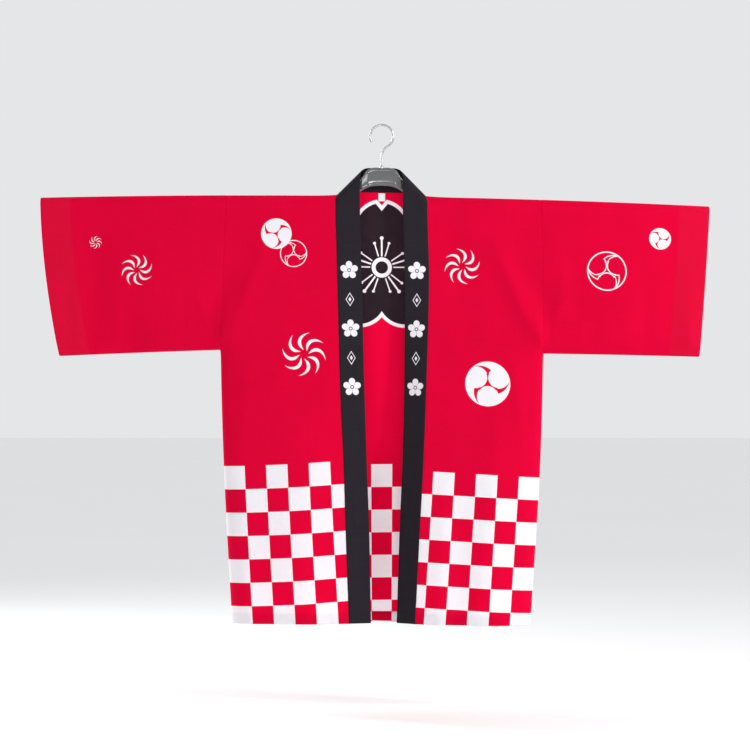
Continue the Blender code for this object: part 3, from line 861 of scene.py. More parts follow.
class Graph:
    """The nodes of one material."""

    def __init__(self, name: str) -> None:
        """Start a material with its Principled shader.

        Args:
            name: The material's name.
        """
        self.material = bpy.data.materials.new(name)
        self.material.use_nodes = True
        self.tree = self.material.node_tree
        self.shader = self.tree.nodes["Principled BSDF"]

    def feed(self, socket: bpy.types.NodeSocket, value: Value) -> None:
        """Set a socket to a value, or link it to a signal.

        Args:
            socket: The socket.
            value: A number, a colour or a signal.
        """
        if isinstance(value, Signal):
            self.tree.links.new(value.socket, socket)
        elif isinstance(value, tuple) and len(value) < len(socket.default_value):
            socket.default_value = (*value, 1.0)
        else:
            socket.default_value = value

    def node(
        self,
        kind: str,
        settings: dict[str, object] | None = None,
        inputs: dict[str | int, Value] | None = None,
        output: str | int = 0,
    ) -> Signal:
        """Add a node.

        Args:
            kind: The node's type.
            settings: Its own settings, which are set first.
            inputs: Values or signals for its sockets.
            output: The socket to read.

        Returns:
            That socket's signal.
        """
        made = self.tree.nodes.new(kind)
        for name, value in (settings or {}).items():
            setattr(made, name, value)
        for name, value in (inputs or {}).items():
            self.feed(made.inputs[name], value)
        return Signal(self, made.outputs[output])

    def math(self, operation: str, *values: "Signal | float") -> Signal:
        """Add a Math node on up to three values."""
        return self.node("ShaderNodeMath", {"operation": operation}, dict(enumerate(values)))

    def blend(self, share: Value, a: Value, b: Value) -> Signal:
        """Mix two colours."""
        return self.node("ShaderNodeMix", {"data_type": "RGBA"}, {0: share, 6: a, 7: b}, 2)

    def map(self, name: str) -> tuple[Signal, Signal, Signal]:
        """Read one of a piece's maps.

        Args:
            name: The map's name.

        Returns:
            The place as a vector, and its two values.
        """
        place = self.node("ShaderNodeUVMap", {"uv_map": name})
        across = self.node("ShaderNodeSeparateXYZ", {}, {0: place})
        return place, across, across.beside(1)

    def object_place(self) -> Signal:
        """The place on the piece, in metres."""
        return self.node("ShaderNodeTexCoord", output="Object")

    def noise(
        self, place: Signal, scale: float, detail: float = 3.0, stretch: Triple | None = None
    ) -> Signal:
        """Add a noise.

        Args:
            place: Where it is read.
            scale: How many lumps there are in a metre.
            detail: How many finer layers it has.
            stretch: How much denser it is along each axis.

        Returns:
            Its value, from 0 to 1.
        """
        if stretch is not None:
            place = self.node("ShaderNodeMapping", {}, {"Vector": place, "Scale": stretch})
        inputs = {"Vector": place, "Scale": scale, "Detail": detail}
        return self.node("ShaderNodeTexNoise", {}, inputs)

    def bump(self, height: Signal, distance: float, normal: Signal | None = None) -> Signal:
        """Add a Bump node.

        Args:
            height: The relief, from 0 to 1.
            distance: Its depth in metres.
            normal: A coarser relief under it.

        Returns:
            The normal.
        """
        inputs: dict[str | int, Value] = {"Height": height, "Distance": distance}
        if normal is not None:
            inputs["Normal"] = normal
        return self.node("ShaderNodeBump", {}, inputs)

    def finish(self, **sockets: Value) -> bpy.types.Material:
        """Set the shader's sockets, written with _ for a space.

        Args:
            sockets: A value or signal for each.

        Returns:
            The material.
        """
        for name, value in sockets.items():
            self.feed(self.shader.inputs[name.replace("_", " ")], value)
        return self.material


@dataclass(frozen=True)
class Print:
    """One printed motif on the flat cut."""

    motif: Motif
    face: Face
    x: float
    height: float
    radius: float
    turn: float = 0.0
    mirrored: bool = False


@dataclass(frozen=True)
class Spot:
    """The place within the nearest stamp of a motif, in shares of its radius, and a mask of the stamps.

    The margin that each motif gives is over 0 inside its printed shape, in shares of the radius.
    """

    across: Signal
    up: Signal
    reach: Signal
    mask: Signal

    def sector(self, count: int) -> Signal:
        """The angle from the nearest of some even rays, one of which points up."""
        return (self.up.angle(self.across) - QUARTER).wrapped(math.pi / count)

    def whirl(self) -> Signal:
        """Eight crescent blades round an open centre.

        Returns:
            The margin inside the blades.
        """
        blades, hole, turning, widest, gap = 8, 0.16, 0.43, 0.085, 0.014
        past = self.reach - turning
        before = (turning - self.reach).most(0.0)
        bend = past * past * 2.2 + before * before * 2.3
        lean = past * self.reach * 4.4
        slant = (lean * lean + 1.0).root()
        angle = (self.up.angle(self.across) - bend).wrapped(math.pi / blades)
        off = abs(angle) * self.reach / slant
        share = ((self.reach - hole) / (1 - hole)).clamped()
        return (share * math.pi).sine() ** 0.8 * widest - gap - off

    def comma_gap(self) -> Signal:
        """The hooked gaps between three commas, whose heads are round.

        Returns:
            The margin inside the gaps.
        """
        head_out, head_aside, head = 0.265, 0.459, 0.435
        angle = self.sector(3)
        along = angle.cosine() * self.reach - head_out
        beside = abs(angle.sine() * self.reach) - head_aside
        line = ((along * along + beside * beside).root() - head).least(0.47 - self.reach)
        outer = (angle * 0.40 + 0.718 - self.reach) * 0.9
        inner = (angle * angle * 0.42 - angle * 1.16 + self.reach - 0.395) * 0.65
        side = (self.reach * 0.841 + angle - 0.303) * self.reach
        return outer.least(inner).least(side).most(line)

    def commas(self) -> Signal:
        """The margin inside a disc of three commas."""
        return (1.0 - self.reach).least(-self.comma_gap())

    def comma_lines(self) -> Signal:
        """The margin inside the drawn outlines of three commas in a ring."""
        drawn = (0.025 - abs(self.comma_gap())).least(0.97 - self.reach)
        return (0.031 - abs(self.reach - 0.965)).most(drawn)

    def flower(self) -> Signal:
        """The margin inside five round petals about an open eye."""
        eye = abs(self.reach - 0.17) - 0.045
        return self.petal(0.62, 0.37, 0.35).most(0.34 - self.reach).least(eye)

    def petal(self, out: float, length: float, wide: float) -> Signal:
        """The nearest of five oval petals.

        Args:
            out: The distance of the petals' middles from the centre.
            length: Half a petal's length.
            wide: Half its width.

        Returns:
            The margin inside it.
        """
        angle = self.sector(5)
        along = (angle.cosine() * self.reach - out) / length
        beside = angle.sine() * self.reach / wide
        return (1.0 - (along * along + beside * beside).root()) * min(length, wide)

    def diamond(self) -> Signal:
        """The margin inside a small diamond within an open one."""
        size = abs(self.across) / 0.62 + abs(self.up)
        return (0.075 - abs(size - 0.78)).most(0.30 - size)

    def blossom(self) -> tuple[Signal, Signal]:
        """A large blossom of five notched petals.

        Returns:
            The margins inside its dark petals and inside its pale stamens.
        """
        angle = self.sector(5)
        along = angle.cosine() * self.reach
        beside = abs(angle.sine() * self.reach)
        notch = (0.865 - along + beside * 1.15) * 0.66
        body = self.petal(0.58, 0.40, 0.395).most(0.30 - self.reach).least(notch)
        foot = along - 0.17
        stem = (0.011 + along * 0.006 - beside).least(foot).least(0.44 - along)
        short = (0.010 - abs(beside - along * 0.30)).least(foot).least(0.36 - along)
        tip = 0.028 - ((along - 0.45) ** 2.0 + beside * beside).root()
        small = 0.022 - ((along - 0.37) ** 2.0 + (beside - 0.111) ** 2.0).root()
        eye = 0.030 - abs(self.reach - 0.125)
        return body, stem.most(short).most(tip).most(small).most(eye)


@dataclass(frozen=True)
class Printer:
    """Draws motifs on a piece's flat cut, each by its own outline, with edges this soft in metres."""

    graph: Graph
    place: Signal
    softness: float = 0.0006
    reach: float = 1.12

    def spot(self, stamps: Sequence[Stamp]) -> Spot:
        """Turn the flat cut into the place within the nearest of some stamps of one motif.

        Args:
            stamps: The stamps.

        Returns:
            The place, which is 0 outside them.
        """
        shares = []
        for centre, turn, radii in stamps:
            inputs = {
                "Vector": self.place,
                "Location": tuple(centre),
                "Rotation": Euler((0.0, 0.0, turn)),
                "Scale": (*radii, 1.0),
            }
            near = self.graph.node("ShaderNodeMapping", {"vector_type": "TEXTURE"}, inputs)
            inside = 1.0 - self.vector("LENGTH", {0: near}, "Value").over(self.reach)
            shares.append((self.vector("SCALE", {0: near, "Scale": inside}), inside))
        total, mask = shares[0]
        for scaled, inside in shares[1:]:
            total = self.vector("ADD", {0: total, 1: scaled})
            mask = mask + inside
        across = self.graph.node("ShaderNodeSeparateXYZ", {}, {0: total})
        up = across.beside(1)
        return Spot(across, up, (across * across + up * up).root(), mask)

    def vector(self, operation: str, inputs: dict[str | int, Value], output: str | int = 0) -> Signal:
        """Add a Vector Math node."""
        return self.graph.node("ShaderNodeVectorMath", {"operation": operation}, inputs, output)

    def mask(self, motif: Motif, stamps: Sequence[Stamp]) -> Signal:
        """Print a motif.

        Args:
            motif: The motif.
            stamps: Its stamps.

        Returns:
            The mask.
        """
        spot = self.spot(stamps)
        radius = sum(abs(stamp[2][1]) for stamp in stamps) / len(stamps)
        return getattr(spot, motif.value)().edge(self.softness / radius) * spot.mask


class ClothGraph(Graph):
    """The nodes of a cloth's material, with the place on its flat cut, the weave on it, and painted shade in
    the weave's gaps.
    """

    def __init__(self, name: str, thread: float) -> None:
        """Start the material.

        Args:
            name: The material's name.
            thread: The pitch of the weave's threads.
        """
        super().__init__(name)
        self.place, self.u, self.v = self.map("cut")
        self.weave = self.u.wave(thread) * self.v.wave(thread)
        # Painted shade: 1 in the gaps between the weave's threads, where the colours are darkened, and 0 on
        # its crests
        self.gaps = (1.0 - self.weave) * 0.5

    def threads(self, across: float, along: float) -> Signal:
        """The threads' unevenness, from 0 to 2, with so many changes in a metre across and along them."""
        warp = self.noise(self.place, 1.0, 2.0, (across, along, 1.0))
        return warp + self.noise(self.place, 1.0, 2.0, (along, across, 1.0))

    def woven(self, normal: Signal) -> Signal:
        """The fine relief of the weave over a coarser one."""
        return self.bump(self.weave * 0.5 + 0.5, 0.00005, normal)


@dataclass(frozen=True)
class Stitching:
    """A row of stitches in a shallow groove: its pitch, and half the groove's and the thread's width."""

    pitch: float
    groove: float
    thread: float
    depth: float = 0.00022

    def sewn(self, off: Signal, along: Signal, normal: Signal) -> Signal:
        """Lay the row on a relief.

        Args:
            off: Distance from the row of stitches.
            along: Distance along it.
            normal: The relief under it.

        Returns:
            The normal.
        """
        groove = (1.0 - abs(off) / self.groove).clamped()
        run = (0.36 - abs((along / self.pitch).part() - 0.5)).edge(0.1)
        stitch = run * (self.thread - abs(off)).edge(0.0002)
        return off.graph.bump(stitch * 0.9 - groove * groove + 1.0, self.depth, normal)


@dataclass(frozen=True)
class Trim:
    """A red piece's motifs, first white check, blossom, facing's width, and depth of its hem's stitches."""

    prints: tuple[Print, ...]
    first_white: int | None = None
    blossom: bool = False
    facing: float = 0.0
    hem: float = 0.0


@dataclass(frozen=True)
class RedCloth:
    """Plain-woven red cotton with white printing that goes right through."""

    red: Colour = (0.690, 0.0006, 0.0350)
    deep_red: Colour = (0.580, 0.0004, 0.0285)
    white: Colour = (0.880, 0.790, 0.845)
    black: Colour = (0.0150, 0.0125, 0.0175)
    # Painted light: the doubled cuff strip is painted paler to stand for less light shining through two plies
    painted_faced_pale_red: Colour = (0.80, 0.20, 0.30)
    painted_faced_share: float = 0.014
    thread: float = 0.00062
    check_wide: float = 0.0410
    blossom: Print = Print(Motif.BLOSSOM, Face.BACK, 0.0, -0.134, 0.1255)
    blossom_border: float = 0.052
    stitching: Stitching = Stitching(0.0026, 0.0016, 0.00028)

    def material(self, name: str, form: HangingForm, trim: Trim) -> bpy.types.Material:
        """Make the cloth's material for one piece.

        Args:
            name: The material's name.
            form: The coat's form, which says where a seen height lies on the cut.
            trim: What the piece has on its cloth.

        Returns:
            The material.
        """
        graph = ClothGraph(name, self.thread)
        _, a, b = graph.map("print")
        colour = self.ground(graph)
        if trim.facing:
            colour = self.faced(graph, colour, trim.facing - a)
        printer = Printer(graph, graph.place)
        white = self.motifs(printer, trim.prints, form)
        if trim.first_white is not None:
            white = white.most(self.checks(a, b, trim.first_white))
        colour = graph.blend(white, colour, self.printed_white(graph))
        if trim.blossom:
            colour = self.with_blossom(printer, form, colour)
        return graph.finish(
            Base_Color=colour,
            Roughness=graph.noise(graph.place, 22.0, 3.0) * 0.16 + 0.76,
            Normal=self.relief(graph, a, b, trim),
            Specular_IOR_Level=0.03,
            Subsurface_Weight=0.7,
            Subsurface_Radius=(1.0, 0.75, 0.75),
            Subsurface_Scale=0.0028,
        )

    def ground(self, graph: ClothGraph) -> Signal:
        """The dyed cloth: soft cloudiness, threads that took the dye a little differently, and painted shade
        in the gaps between threads.
        """
        share = (graph.noise(graph.place, 9.0, 2.0) - 0.5) * 0.9 + (graph.threads(700.0, 14.0) - 1.0) * 0.55
        return graph.blend((share + graph.gaps * 0.30 + 0.22).clamped(), self.red, self.deep_red)

    def printed_white(self, graph: ClothGraph) -> Signal:
        """The printed white, a little uneven, with painted shade in the gaps between its threads."""
        uneven = (graph.noise(graph.place, 160.0, 3.0) - 0.45) * 0.5 + graph.gaps * 0.16
        return graph.blend(uneven.clamped(), self.white, tuple(0.86 * part for part in self.white))

    def faced(self, graph: ClothGraph, colour: Signal, inside: Signal) -> Signal:
        """The cuff's doubled strip, painted paler to stand for less light shining through it, where inside is
        over 0.
        """
        pale = graph.blend(self.painted_faced_share, colour, self.painted_faced_pale_red)
        return graph.blend(inside.edge(0.007), colour, pale)

    def motifs(self, printer: Printer, prints: Sequence[Print], form: HangingForm) -> Signal:
        """Print a piece's round motifs.

        Args:
            printer: What draws them.
            prints: The motifs, at least one.
            form: The coat's form.

        Returns:
            The mask of them all.
        """
        masks = []
        for motif in Motif:
            stamps = [self.stamp(item, form) for item in prints if item.motif is motif]
            if stamps:
                masks.append(printer.mask(motif, stamps))
        return reduce(Signal.most, masks)

    def stamp(self, item: Print, form: HangingForm) -> Stamp:
        """Find a print's stamp on the flat cut.

        Args:
            item: The print, by its place on the hung coat.
            form: The coat's form.

        Returns:
            The stamp, with its radius as it is seen.
        """
        sign = item.face.value
        centre = Vector((item.x, sign * form.flat_depth(item.x, item.height), 0.0))
        across = item.radius * -sign * (-1.0 if item.mirrored else 1.0)
        return centre, math.radians(item.turn), (across, item.radius * -sign)

    def checks(self, a: Signal, b: Signal, first_white: int) -> Signal:
        """The mask of the white checks above the hem, by their columns and their rows from the top."""
        odd = ((a.floor() + b.floor() + float(first_white)) * 0.5).part().over(0.25)
        return (1.0 - odd) * b.over(0.0)

    def with_blossom(self, printer: Printer, form: HangingForm, colour: Signal) -> Signal:
        """Print the large dark blossom with its pale border in the middle of the back.

        Args:
            printer: What draws it.
            form: The coat's form.
            colour: The colour under it.

        Returns:
            The colour.
        """
        spot = printer.spot([self.stamp(self.blossom, form)])
        body, stamens = spot.blossom()
        soft = printer.softness / self.blossom.radius
        layers = ((body + self.blossom_border, self.white), (body, self.black), (stamens, self.white))
        for margin, ink in layers:
            colour = printer.graph.blend(margin.edge(soft) * spot.mask, colour, ink)
        return colour

    def relief(self, graph: ClothGraph, a: Signal, b: Signal, trim: Trim) -> Signal:
        """The weave, the thicker threads in it, stitches, and soft wrinkles.

        Args:
            graph: The material's nodes.
            a: The print map's first value.
            b: The print map's second value.
            trim: What the piece has on its cloth.

        Returns:
            The normal.
        """
        wrinkle = graph.bump(graph.noise(graph.place, 26.0, 4.0), 0.0011)
        coarse = graph.bump(graph.threads(900.0, 30.0), 0.00006, wrinkle)
        if trim.facing:
            coarse = self.stitching.sewn(a - trim.facing, b, coarse)
        if trim.hem:
            coarse = self.stitching.sewn(abs(graph.v) - trim.hem, graph.u, coarse)
        return graph.woven(coarse)


@dataclass(frozen=True)
class BandCloth:
    """Black cotton of the collar band, doubled and edge-stitched, with small white printed motifs."""

    black: Colour = (0.0120, 0.0092, 0.0138)
    # Paler black for soft clouds and uneven threads, and a painted highlight on the weave's crests
    uneven_crest_lit_black: Colour = (0.0205, 0.0165, 0.0230)
    white: Colour = (0.745, 0.715, 0.750)
    thread: float = 0.00058
    flowers: tuple[float, ...] = (0.150, 0.262, 0.374)
    diamonds: tuple[float, ...] = (0.206, 0.318)
    flower_radius: float = 0.0175
    diamond_radius: float = 0.0155
    stitched_in: float = 0.0032
    stitching: Stitching = Stitching(0.0028, 0.0014, 0.00026)

    def material(self, name: str, form: HangingForm, whole: float) -> bpy.types.Material:
        """Make the band's material.

        Args:
            name: The material's name.
            form: The coat's form, which holds the band's width and where it ends.
            whole: The band's whole length.

        Returns:
            The material.
        """
        graph = ClothGraph(name, self.thread)
        cloud = (graph.noise(graph.place, 14.0, 3.0) - 0.4) * 0.5
        # Paler in soft clouds and uneven threads, with a painted highlight on the weave's crests
        share = (graph.threads(600.0, 12.0) - 0.9) * 0.7 + cloud + (1.0 - graph.gaps) * 0.25
        colour = graph.blend(share.clamped(), self.black, self.uneven_crest_lit_black)
        printer = Printer(graph, graph.place)
        flowers = printer.mask(Motif.FLOWER, self.stamps(self.flowers, self.flower_radius, form, whole))
        diamonds = printer.mask(Motif.DIAMOND, self.stamps(self.diamonds, self.diamond_radius, form, whole))
        soft = graph.bump(graph.noise(graph.place, 34.0, 3.0), 0.0007)
        edge = self.stitching.sewn(abs(graph.u) - self.stitched_in, graph.v, soft)
        return graph.finish(
            Base_Color=graph.blend(flowers.most(diamonds), colour, self.white),
            Roughness=graph.noise(graph.place, 30.0, 3.0) * 0.2 + 0.68,
            Normal=graph.woven(edge),
            Specular_IOR_Level=0.12,
            Sheen_Weight=0.02,
            Sheen_Roughness=0.45,
        )

    def stamps(self, depths: Sequence[float], radius: float, form: HangingForm, whole: float) -> list[Stamp]:
        """The stamps of one motif on both halves of the band, upright on each.

        Args:
            depths: How far down each front they are.
            radius: Their radius.
            form: The coat's form.
            whole: The band's whole length.

        Returns:
            The stamps.
        """
        found = []
        for depth in depths:
            run = form.coat_length - depth
            for along, turn in ((run, 0.0), (whole - run, math.pi)):
                found.append((Vector((form.band_width / 2, along, 0.0)), turn, (radius, radius)))
        return found


@dataclass(frozen=True)
class WovenTape:
    """The white ribbed tape of the blank neck label."""

    white: Colour = (0.86, 0.86, 0.87)
    rib: float = 0.0006

    def material(self, name: str) -> bpy.types.Material:
        """Make the tape's material.

        Args:
            name: The material's name.

        Returns:
            The material.
        """
        graph = Graph(name)
        place, u, v = graph.map("cut")
        ribs = v.wave(self.rib) * 0.5 + 0.5
        colour = graph.blend(ribs * 0.3, self.white, tuple(0.8 * part for part in self.white))
        normal = graph.bump(ribs * 0.7 + u.wave(self.rib / 2) * 0.15, 0.00008)
        rough = graph.noise(place, 400.0) * 0.2 + 0.55
        return graph.finish(Base_Color=colour, Roughness=rough, Normal=normal)


@dataclass(frozen=True)
class MouldedPlastic:
    """Glossy dark grey moulded plastic, with faint flow marks and handling scratches."""

    grey: Colour = (0.058, 0.058, 0.062)
    pale_grey: Colour = (0.078, 0.078, 0.083)

    def material(self, name: str) -> bpy.types.Material:
        """Make the plastic's material.

        Args:
            name: The material's name.

        Returns:
            The material.
        """
        graph = Graph(name)
        place = graph.object_place()
        flow = graph.noise(place, 18.0, 4.0, (1.0, 2.0, 5.0))
        colour = graph.blend(((flow - 0.35) * 1.4).clamped(), self.grey, self.pale_grey)
        scratch = graph.noise(place, 1.0, 2.0, (60.0, 300.0, 1400.0))
        worn = ((scratch - 0.62) * 6.0).clamped()
        rough = worn * 0.12 + graph.noise(place, 60.0, 2.0) * 0.05 + 0.15
        normal = graph.bump(graph.noise(place, 70.0, 2.0), 0.00003)
        return graph.finish(
            Base_Color=colour,
            Roughness=rough,
            Normal=normal,
            IOR=1.52,
            Coat_Weight=1.0,
            Coat_IOR=1.7,
            Coat_Roughness=0.13,
        )


@dataclass(frozen=True)
class PlatedWire:
    """Bright plated wire with fine drawing lines."""

    steel: Colour = (0.50, 0.50, 0.52)
    dull: Colour = (0.34, 0.34, 0.36)

    def material(self, name: str) -> bpy.types.Material:
        """Make the wire's material.

        Args:
            name: The material's name.

        Returns:
            The material.
        """
        graph = Graph(name)
        place = graph.object_place()
        haze = graph.noise(place, 220.0, 4.0)
        colour = graph.blend(((haze - 0.4) * 1.3).clamped(), self.steel, self.dull)
        lines = graph.noise(place, 1.0, 2.0, (900.0, 900.0, 60.0))
        normal = graph.bump(lines, 0.00001)
        return graph.finish(Base_Color=colour, Roughness=haze * 0.14 + 0.22, Metallic=1.0, Normal=normal)


# How far the cloth turns in at a seam: distance from the seam, and lift of the cloth's face there
SEAM_IN = (
    (0.0, -0.0055),
    (0.0, -0.0026),
    (0.0, -0.0006),
    (0.0005, -0.0002),
    (0.0014, -0.00005),
    (0.0036, 0.0),
)
# Where the columns stand on the rounded edge beyond a side seam's turning
ROUND_EDGE = (0.0065, 0.0095, 0.0130, 0.0170, 0.0215, 0.0260, 0.0305)


def side_stations() -> list[Station]:
    """The columns from a side seam's turning over the rounded edge."""
    return [Station(*turn) for turn in SEAM_IN] + [Station(place) for place in ROUND_EDGE]


def hem_stations(edge: float, back: float, width: float, spacing: float) -> list[Station]:
    """The stations of a turned hem, from its outer ply round its edge to the end of its inner ply.

    Args:
        edge: The place of the edge.
        back: The sign and scale of one metre back from the edge, in places.
        width: The hem's width in metres.
        spacing: The widest spacing wanted, in metres.

    Returns:
        The stations in order.
    """
    inner_ply, curve, straight = -0.0013, 0.0007, 0.0022
    found = [
        Station(edge + back * straight),
        Station(edge + back * curve, -0.00010),
        Station(edge, inner_ply / 2, edge),
        Station(edge + back * curve, inner_ply + 0.00010, edge - back * curve),
    ]
    for gone in [straight, *steps(straight + spacing, width, spacing), width]:
        found.append(Station(edge + back * gone, inner_ply, edge - back * gone))
    return found


class BodyPiece(ClothPiece):
    """A front or the back, whose rows run from the shoulder line to the hem."""

    form: HangingForm
    spacing = 0.005
    hem = 0.020
    stitched_hem = 0.0185

    def rows(self) -> list[Station]:
        """The rows from the shoulder seam's turning to the end of the hem's inner ply.

        Returns:
            The rows in order.
        """
        low, length, fine = self.form.underarm_depth, self.form.coat_length, self.spacing / 2
        bounds = ((0.005, fine), (self.form.roll * QUARTER, self.spacing), (low - 0.030, fine))
        bounds += ((low + 0.012, self.spacing), (length - 0.0035, 0.0))
        found = [Station(0.0002, -0.0005), Station(0.0014, -0.00015), Station(0.0030)]
        for (start, spacing), (end, _) in pairwise(bounds):
            found += [Station(place) for place in steps(start, end, spacing)]
        return found + hem_stations(length, -1.0, self.hem, self.spacing)

    def room(self, column: float, row: float) -> float:
        """The share of the side seam's turning that there is room for, where the sides close up.

        Args:
            column: The place's column, which is not used.
            row: The depth.

        Returns:
            The share.
        """
        form = self.form
        above = form.round_share(form.body_edge_distance(0.0, row)) if row < form.underarm_depth else 0.0
        return max(above, ramp(form.underarm_depth, form.underarm_depth + 0.02, row))

    def trim(self, prints: tuple[Print, ...], first_white: int, blossom: bool = False) -> Trim:
        """What the panel has on its cloth, with the stitches of its hem."""
        return Trim(prints, first_white, blossom, hem=self.form.coat_length - self.stitched_hem)


@dataclass
class FrontPanel(BodyPiece):
    """One front, from its side seam to under the collar band.

    A column is the way in from the side seam on the nominal panel, and a row is the depth.
    """

    form: HangingForm
    side: Side
    cloth: RedCloth
    prints: tuple[Print, ...]
    first_top: Pair
    check_tall: float
    top_bend: float = 1.0
    top_reach: float = 0.225
    nominal: float = 0.192
    tuck: float = 0.0034

    def __post_init__(self) -> None:
        """Name the piece and its solid for their side."""
        self.node = f"front_{self.side.name.lower()}"
        self.name, self.outward = f"{self.node}_cloth", float(self.side.value)

    def surface(self, column: float, row: float) -> Vector:
        """The point of the front at a place.

        Args:
            column: The way in from the side seam.
            row: The depth.

        Returns:
            The point.
        """
        form = self.form
        if column <= form.edge_round:
            return form.front(self.side, max(column, 0.0), 0.0, max(row, 0.0))
        share = (column - form.edge_round) / self.nominal
        if share <= 1.0:
            return form.front(self.side, form.edge_round, share, max(row, 0.0))
        return form.band(self.side, (share - 1) * self.nominal / form.band_width, -row)

    def cut_map(self, column: float, row: float) -> Pair:
        """The place on the flat cut.

        Args:
            column: The way in from the side seam.
            row: The depth.

        Returns:
            The way across the coat, and up.
        """
        form = self.form
        edge = form.side_edge(self.side, row)
        share = max(0.0, column - form.edge_round) / self.nominal
        flat = edge - form.edge_round - form.outer_curve[self.side].at(row)
        run = min(column, form.edge_round) + share * flat
        return self.side.value * (edge - run), -row

    def print_map(self, column: float, row: float) -> Pair:
        """The place among the checks.

        Args:
            column: The way in from the side seam.
            row: The depth.

        Returns:
            The check's column from the side seam, and its row down from their top.
        """
        x, _ = self.cut_map(column, row)
        run = self.form.side_edge(self.side, max(row, self.form.underarm_depth)) - abs(x)
        top = mix(*self.first_top, max(run / self.top_reach, 0.0) ** self.top_bend)
        return run / self.cloth.check_wide, (row - top) / self.check_tall

    def columns(self) -> list[Station]:
        """The columns from the side seam's turning to the tuck under the band.

        Returns:
            The columns in order.
        """
        start = self.form.edge_round
        whole = start + self.nominal
        places = steps(start, whole, self.spacing) + [whole, whole + self.tuck / 2, whole + self.tuck]
        return side_stations() + [Station(place) for place in places]

    def material(self) -> bpy.types.Material:
        """The red cloth with the front's motifs, checks and hem."""
        return self.cloth.material(self.name, self.form, self.trim(self.prints, 0))


@dataclass
class BackPanel(BodyPiece):
    """The back in one width, with its neckline under the collar band.

    A column is the way across the nominal panel from its middle, and a row is the depth.
    """

    form: HangingForm
    cloth: RedCloth
    prints: tuple[Print, ...]
    tops: Pair
    check_tall: float
    half: float = 0.311
    check_columns: int = 15
    tuck: float = 0.0018
    band_cover: float = 0.004
    name = "back_cloth"
    node = "back"

    def across(self, column: float, row: float) -> Pair:
        """Lay a nominal place out on the panel's own width.

        Args:
            column: The way across.
            row: The depth.

        Returns:
            The place across the coat, and the inset from the side seam.
        """
        form = self.form
        side = Side.of(column)
        edge = form.side_edge(side, row)
        inset = self.half - abs(column)
        if inset < form.edge_round:
            return side.value * (edge - max(inset, 0.0)), max(inset, 0.0)
        x = column / (self.half - form.edge_round) * (edge - form.edge_round)
        return x, edge - abs(x)

    def surface(self, column: float, row: float) -> Vector:
        """The point of the back at a place, carried on straight above its neckline.

        The tuck above it is closed up where the top edge is the shoulder seam.

        Args:
            column: The way across.
            row: The depth.

        Returns:
            The point.
        """
        if row < 0.0:
            x, _ = self.across(column, 0.0)
            if abs(x) > self.form.crest(Side.of(x)) - self.band_cover:
                row = 0.0001
        x, inset = self.across(column, max(row, 0.0))
        if row >= 0.0:
            return self.form.back(x, inset, row)
        return self.form.back(x, inset, 0.0) * 2 - self.form.back(x, inset, -row)

    def cut_map(self, column: float, row: float) -> Pair:
        """The place on the flat cut: across the coat, and down."""
        return self.across(column, max(row, 0.0))[0], row

    def print_map(self, column: float, row: float) -> Pair:
        """The place among the checks.

        Args:
            column: The way across.
            row: The depth.

        Returns:
            The check's column from the left, and its row down from their top.
        """
        x, _ = self.across(column, max(row, 0.0))
        edge = self.form.side_edge(Side.of(x), max(row, self.form.underarm_depth))
        top = mix(*self.tops, max((1 - x / edge) / 2, 0.0) ** 2)
        return (x / edge + 1) * self.check_columns / 2, (row - top) / self.check_tall

    def columns(self) -> list[Station]:
        """The columns from the left seam's turning to the right one's.

        Returns:
            The columns in order.
        """
        edge = side_stations()
        left = [Station(item.place - self.half, item.lift) for item in edge]
        right = [Station(self.half - item.place, item.lift) for item in reversed(edge)]
        inner = self.half - self.form.edge_round
        return left + [Station(place) for place in [*steps(-inner, inner, self.spacing), inner]] + right

    def rows(self) -> list[Station]:
        """The rows, with one more that is tucked under the band."""
        return [Station(-self.tuck), *super().rows()]

    def material(self) -> bpy.types.Material:
        """The red cloth with the back's motifs, checks, blossom and hem."""
        return self.cloth.material(self.name, self.form, self.trim(self.prints, 1, blossom=True))


